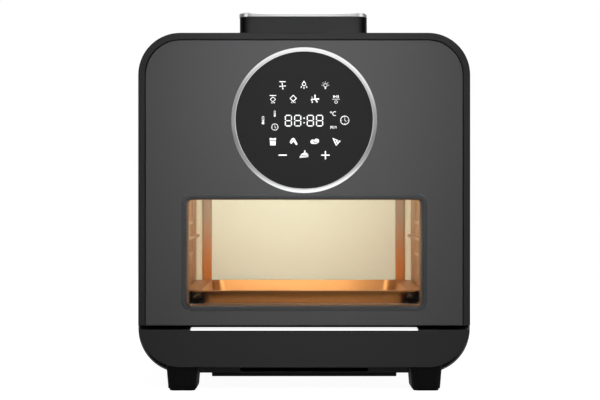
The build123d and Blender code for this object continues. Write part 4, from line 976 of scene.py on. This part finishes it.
class FRYER_OT_tank(bpy.types.Operator):
    """Finish the water tank with painted shade at its ends, its bright lid with a painted highlight in the
    middle, its pin and the dock
    """
    bl_idname = "fryer.tank"
    bl_label = "Tank"

    def execute(self, context):
        half = corners("water_tank")[1].x
        # The smoked tank darkens to near black towards its rounded ends: painted shade
        painted_shade_from, painted_shade_at = half - 0.013, half - 0.006
        set_material("water_tank", paint("tank_smoke", grey(0.045), grey(0.001), (0.3, 0.36), 900.0, 3.0,
                                         0.02, specular=0.08, fade=(ACROSS, painted_shade_from, painted_shade_at)))
        # The lid's metal is lighter in the middle and darker towards its ends: a painted highlight
        highlight_to = 0.015
        set_material("tank_lid", metal("lid_painted_highlight", grey(0.97), grey(0.7), (0.26, 0.34),
                                       (3.0, 500.0, 500.0), fade=(ACROSS, highlight_to, half)))
        set_material("tank_lid_pin", metal("pin_steel", grey(0.5), grey(0.6)))
        set_material("tank_dock", paint("dock_black", grey(0.01), grey(0.015), (0.5, 0.6)))
        return {"FINISHED"}


def area_light(name, place, target, size, power, colour=(1.0, 1.0, 1.0), spread=180.0):
    """A soft rectangular lamp that faces a point, kept within a cone where spread is small."""
    lamp = bpy.data.lights.new(name, "AREA")
    lamp.shape = "RECTANGLE"
    lamp.size, lamp.size_y = size
    lamp.energy = power
    lamp.spread = math.radians(spread)
    lamp.color = colour
    holder = bpy.data.objects.new(name, lamp)
    holder.location = place
    holder.rotation_euler = (Vector(target) - Vector(place)).to_track_quat("-Z", "Y").to_euler()
    bpy.context.scene.collection.objects.link(holder)
    return holder


def shown_rays(tree, path):
    """1 for the rays that reach the background straight from the camera or through glass."""
    return calculate(tree, "MAXIMUM", path["Is Camera Ray"], path["Is Transmission Ray"])


class FRYER_OT_stage(bpy.types.Operator):
    """Set up the pale floor, the soft studio light and the camera"""
    bl_idname = "fryer.stage"
    bl_label = "Stage"

    def execute(self, context):
        own = settings_now()
        self.make_floor(context)
        self.make_world(context)
        self.add_lamps(own)
        self.add_camera(context, own)
        context.scene.view_settings.view_transform = "Standard"
        return {"FINISHED"}

    def make_floor(self, context):
        """A pale floor that looks white, keeps the shadow, and glows for glossy rays in a painted pool of
        light before the object, which shows in the front's reflections.
        """
        bm = bmesh.new()
        bmesh.ops.create_grid(bm, x_segments=1, y_segments=1, size=6.0)
        mesh = bpy.data.meshes.new("studio_floor")
        bm.to_mesh(mesh)
        bm.free()
        floor = bpy.data.objects.new("studio_floor", mesh)
        context.scene.collection.objects.link(floor)
        material, shader, tree = new_material("floor_white")
        shader.inputs["Base Color"].default_value = grey(0.85)
        shader.inputs["Roughness"].default_value = 0.8
        shader.inputs["Specular IOR Level"].default_value = 0.1
        glow = tree.nodes.new("ShaderNodeEmission")
        glow.inputs["Color"].default_value = grey(1.0)
        glow.inputs["Strength"].default_value = 1.2
        path = tree.nodes.new("ShaderNodeLightPath").outputs
        shown_share = 0.8
        # Glossy rays see the floor glow white within a pool before the object: a painted pool of light for
        # the reflections
        pool_centre, pool_full, pool_ends = (0.08, -0.45, 0.0), 0.1, 0.6
        reach = measure(tree, "DISTANCE", object_place(tree), pool_centre)
        painted_light_pool = remap(tree, reach, pool_full, pool_ends, 1.0, 0.0, "SMOOTHSTEP")
        shown = calculate(tree, "MULTIPLY", shown_rays(tree, path), shown_share)
        mix = tree.nodes.new("ShaderNodeMixShader")
        feed(tree, calculate(tree, "MULTIPLY_ADD", path["Is Glossy Ray"], painted_light_pool, shown), mix.inputs["Fac"])
        feed(tree, shader.outputs["BSDF"], mix.inputs[1])
        feed(tree, glow.outputs["Emission"], mix.inputs[2])
        feed(tree, mix.outputs["Shader"], tree.nodes["Material Output"].inputs["Surface"])
        mesh.materials.append(material)

    def make_world(self, context):
        """White to the camera; a soft light from ahead and above for all that it lights."""
        world = bpy.data.worlds.new("studio_world")
        context.scene.world = world
        world.use_nodes = True
        tree = world.node_tree
        nodes = tree.nodes
        place = nodes.new("ShaderNodeTexCoord").outputs["Generated"]
        split = nodes.new("ShaderNodeSeparateXYZ")
        feed(tree, place, split.inputs["Vector"])
        towards_camera, upward = (0.0, -0.992, 0.125), (0.17, 0.0, 0.985)
        ahead = measure(tree, "DOT_PRODUCT", place, towards_camera)
        rise = measure(tree, "DOT_PRODUCT", place, upward)
        depth = calculate(tree, "ABSOLUTE", split.outputs["Y"])
        # Three levels, multiplied: each by a direction, where it starts and ends, and its two strengths
        strength = remap(tree, ahead, 0.96, 0.985, 1.0, 2.5)
        for source, low, high, weak, strong in ((rise, 0.2, 0.52, 0.36, 1.1), (depth, 0.0, 0.75, 0.3, 1.0)):
            strength = calculate(tree, "MULTIPLY", strength, remap(tree, source, low, high, weak, strong))
        path = nodes.new("ShaderNodeLightPath").outputs
        lit_share, mirrored_share = 0.36, 1.0
        share = remap(tree, path["Is Glossy Ray"], 0.0, 1.0, lit_share, mirrored_share)
        soft = nodes["Background"]
        soft.inputs["Color"].default_value = grey(1.0)
        feed(tree, calculate(tree, "MULTIPLY", strength, share), soft.inputs["Strength"])
        white = nodes.new("ShaderNodeBackground")
        white.inputs["Color"].default_value = grey(1.0)
        white.inputs["Strength"].default_value = 1.0
        blend = nodes.new("ShaderNodeMixShader")
        feed(tree, shown_rays(tree, path), blend.inputs["Fac"])
        feed(tree, soft.outputs["Background"], blend.inputs[1])
        feed(tree, white.outputs["Background"], blend.inputs[2])
        feed(tree, blend.outputs["Shader"], nodes["World Output"].inputs["Surface"])

    def add_lamps(self, own):
        """Soft boxes round the object, and the warm lamp under the cavity's ceiling."""
        key = area_light("key_softbox", (0.0, -1.0, 0.9), (0.0, -0.17, 0.29), (0.2, 0.3), 0.62, spread=30.0)
        # Its image would break up along the ring's edge, and the world already gives the ring a highlight
        key.visible_glossy = False
        area_light("left_softbox", (-1.3, -0.7, 0.7), (0.0, 0.0, 0.15), (0.8, 0.8), 2.5)
        area_light("right_softbox", (1.3, -0.7, 0.7), (0.0, 0.0, 0.15), (0.8, 0.8), 2.5)
        area_light("rear_softbox", (0.5, 1.5, 0.9), (0.0, 0.17, 0.2), (1.0, 1.0), 14.0)
        area_light("lid_softbox", (0.0, -0.15, 1.1), (0.0, 0.13, 0.41), (0.2, 0.3), 1.8)
        low, high = corners("cavity_liner")
        middle_x = (low.x + high.x) / 2
        aside, behind_door, lamp_rise, target_rise = 0.02, 0.03, 0.125, 0.05
        warm = (0.95, 0.99, 0.86)
        area_light("cavity_lamp", (middle_x - aside, low.y + behind_door, low.z + lamp_rise),
                   (middle_x + aside, high.y, low.z + target_rise), (0.2, 0.03), own.lamp_power, warm)

    def add_camera(self, context, own):
        """A level camera that sees a fixed width at the door's face."""
        camera = bpy.data.cameras.new("photo_camera")
        seen_width = 0.6
        camera.sensor_width = 36.0
        camera.lens = camera.sensor_width * own.camera_distance / seen_width
        holder = bpy.data.objects.new("photo_camera", camera)
        door_face = corners("door_frame")[0].y
        holder.location = (-own.camera_side, door_face - own.camera_distance, own.camera_height)
        holder.rotation_euler = (math.pi / 2, 0.0, 0.0)
        context.scene.collection.objects.link(holder)
        context.scene.camera = holder


class FRYER_PT_panel(bpy.types.Panel):
    """Lists the steps and the settings"""
    bl_idname = "FRYER_PT_panel"
    bl_label = "Air fryer"
    bl_space_type = "VIEW_3D"
    bl_region_type = "UI"
    bl_category = "Air fryer"

    def draw(self, context):
        layout = self.layout
        for step in STEPS:
            layout.operator(step.bl_idname)
        own = context.scene.fryer_settings
        for name in own.bl_rna.properties.keys():
            if name not in ("rna_type", "name"):
                layout.prop(own, name)


STEPS = (FRYER_OT_groups, FRYER_OT_door, FRYER_OT_display, FRYER_OT_body, FRYER_OT_cavity, FRYER_OT_works,
         FRYER_OT_tank, FRYER_OT_stage)
CLASSES = (FryerSettings,) + STEPS + (FRYER_PT_panel,)


def register():
    for cls in CLASSES:
        bpy.utils.register_class(cls)
    bpy.types.Scene.fryer_settings = bpy.props.PointerProperty(type=FryerSettings)


def unregister():
    del bpy.types.Scene.fryer_settings
    for cls in reversed(CLASSES):
        bpy.utils.unregister_class(cls)


def main():
    register()
    bpy.ops.fryer.groups()
    bpy.ops.fryer.door()
    bpy.ops.fryer.display()
    bpy.ops.fryer.body()
    bpy.ops.fryer.cavity()
    bpy.ops.fryer.works()
    bpy.ops.fryer.tank()
    bpy.ops.fryer.stage()


if __name__ == "__main__":
    main()
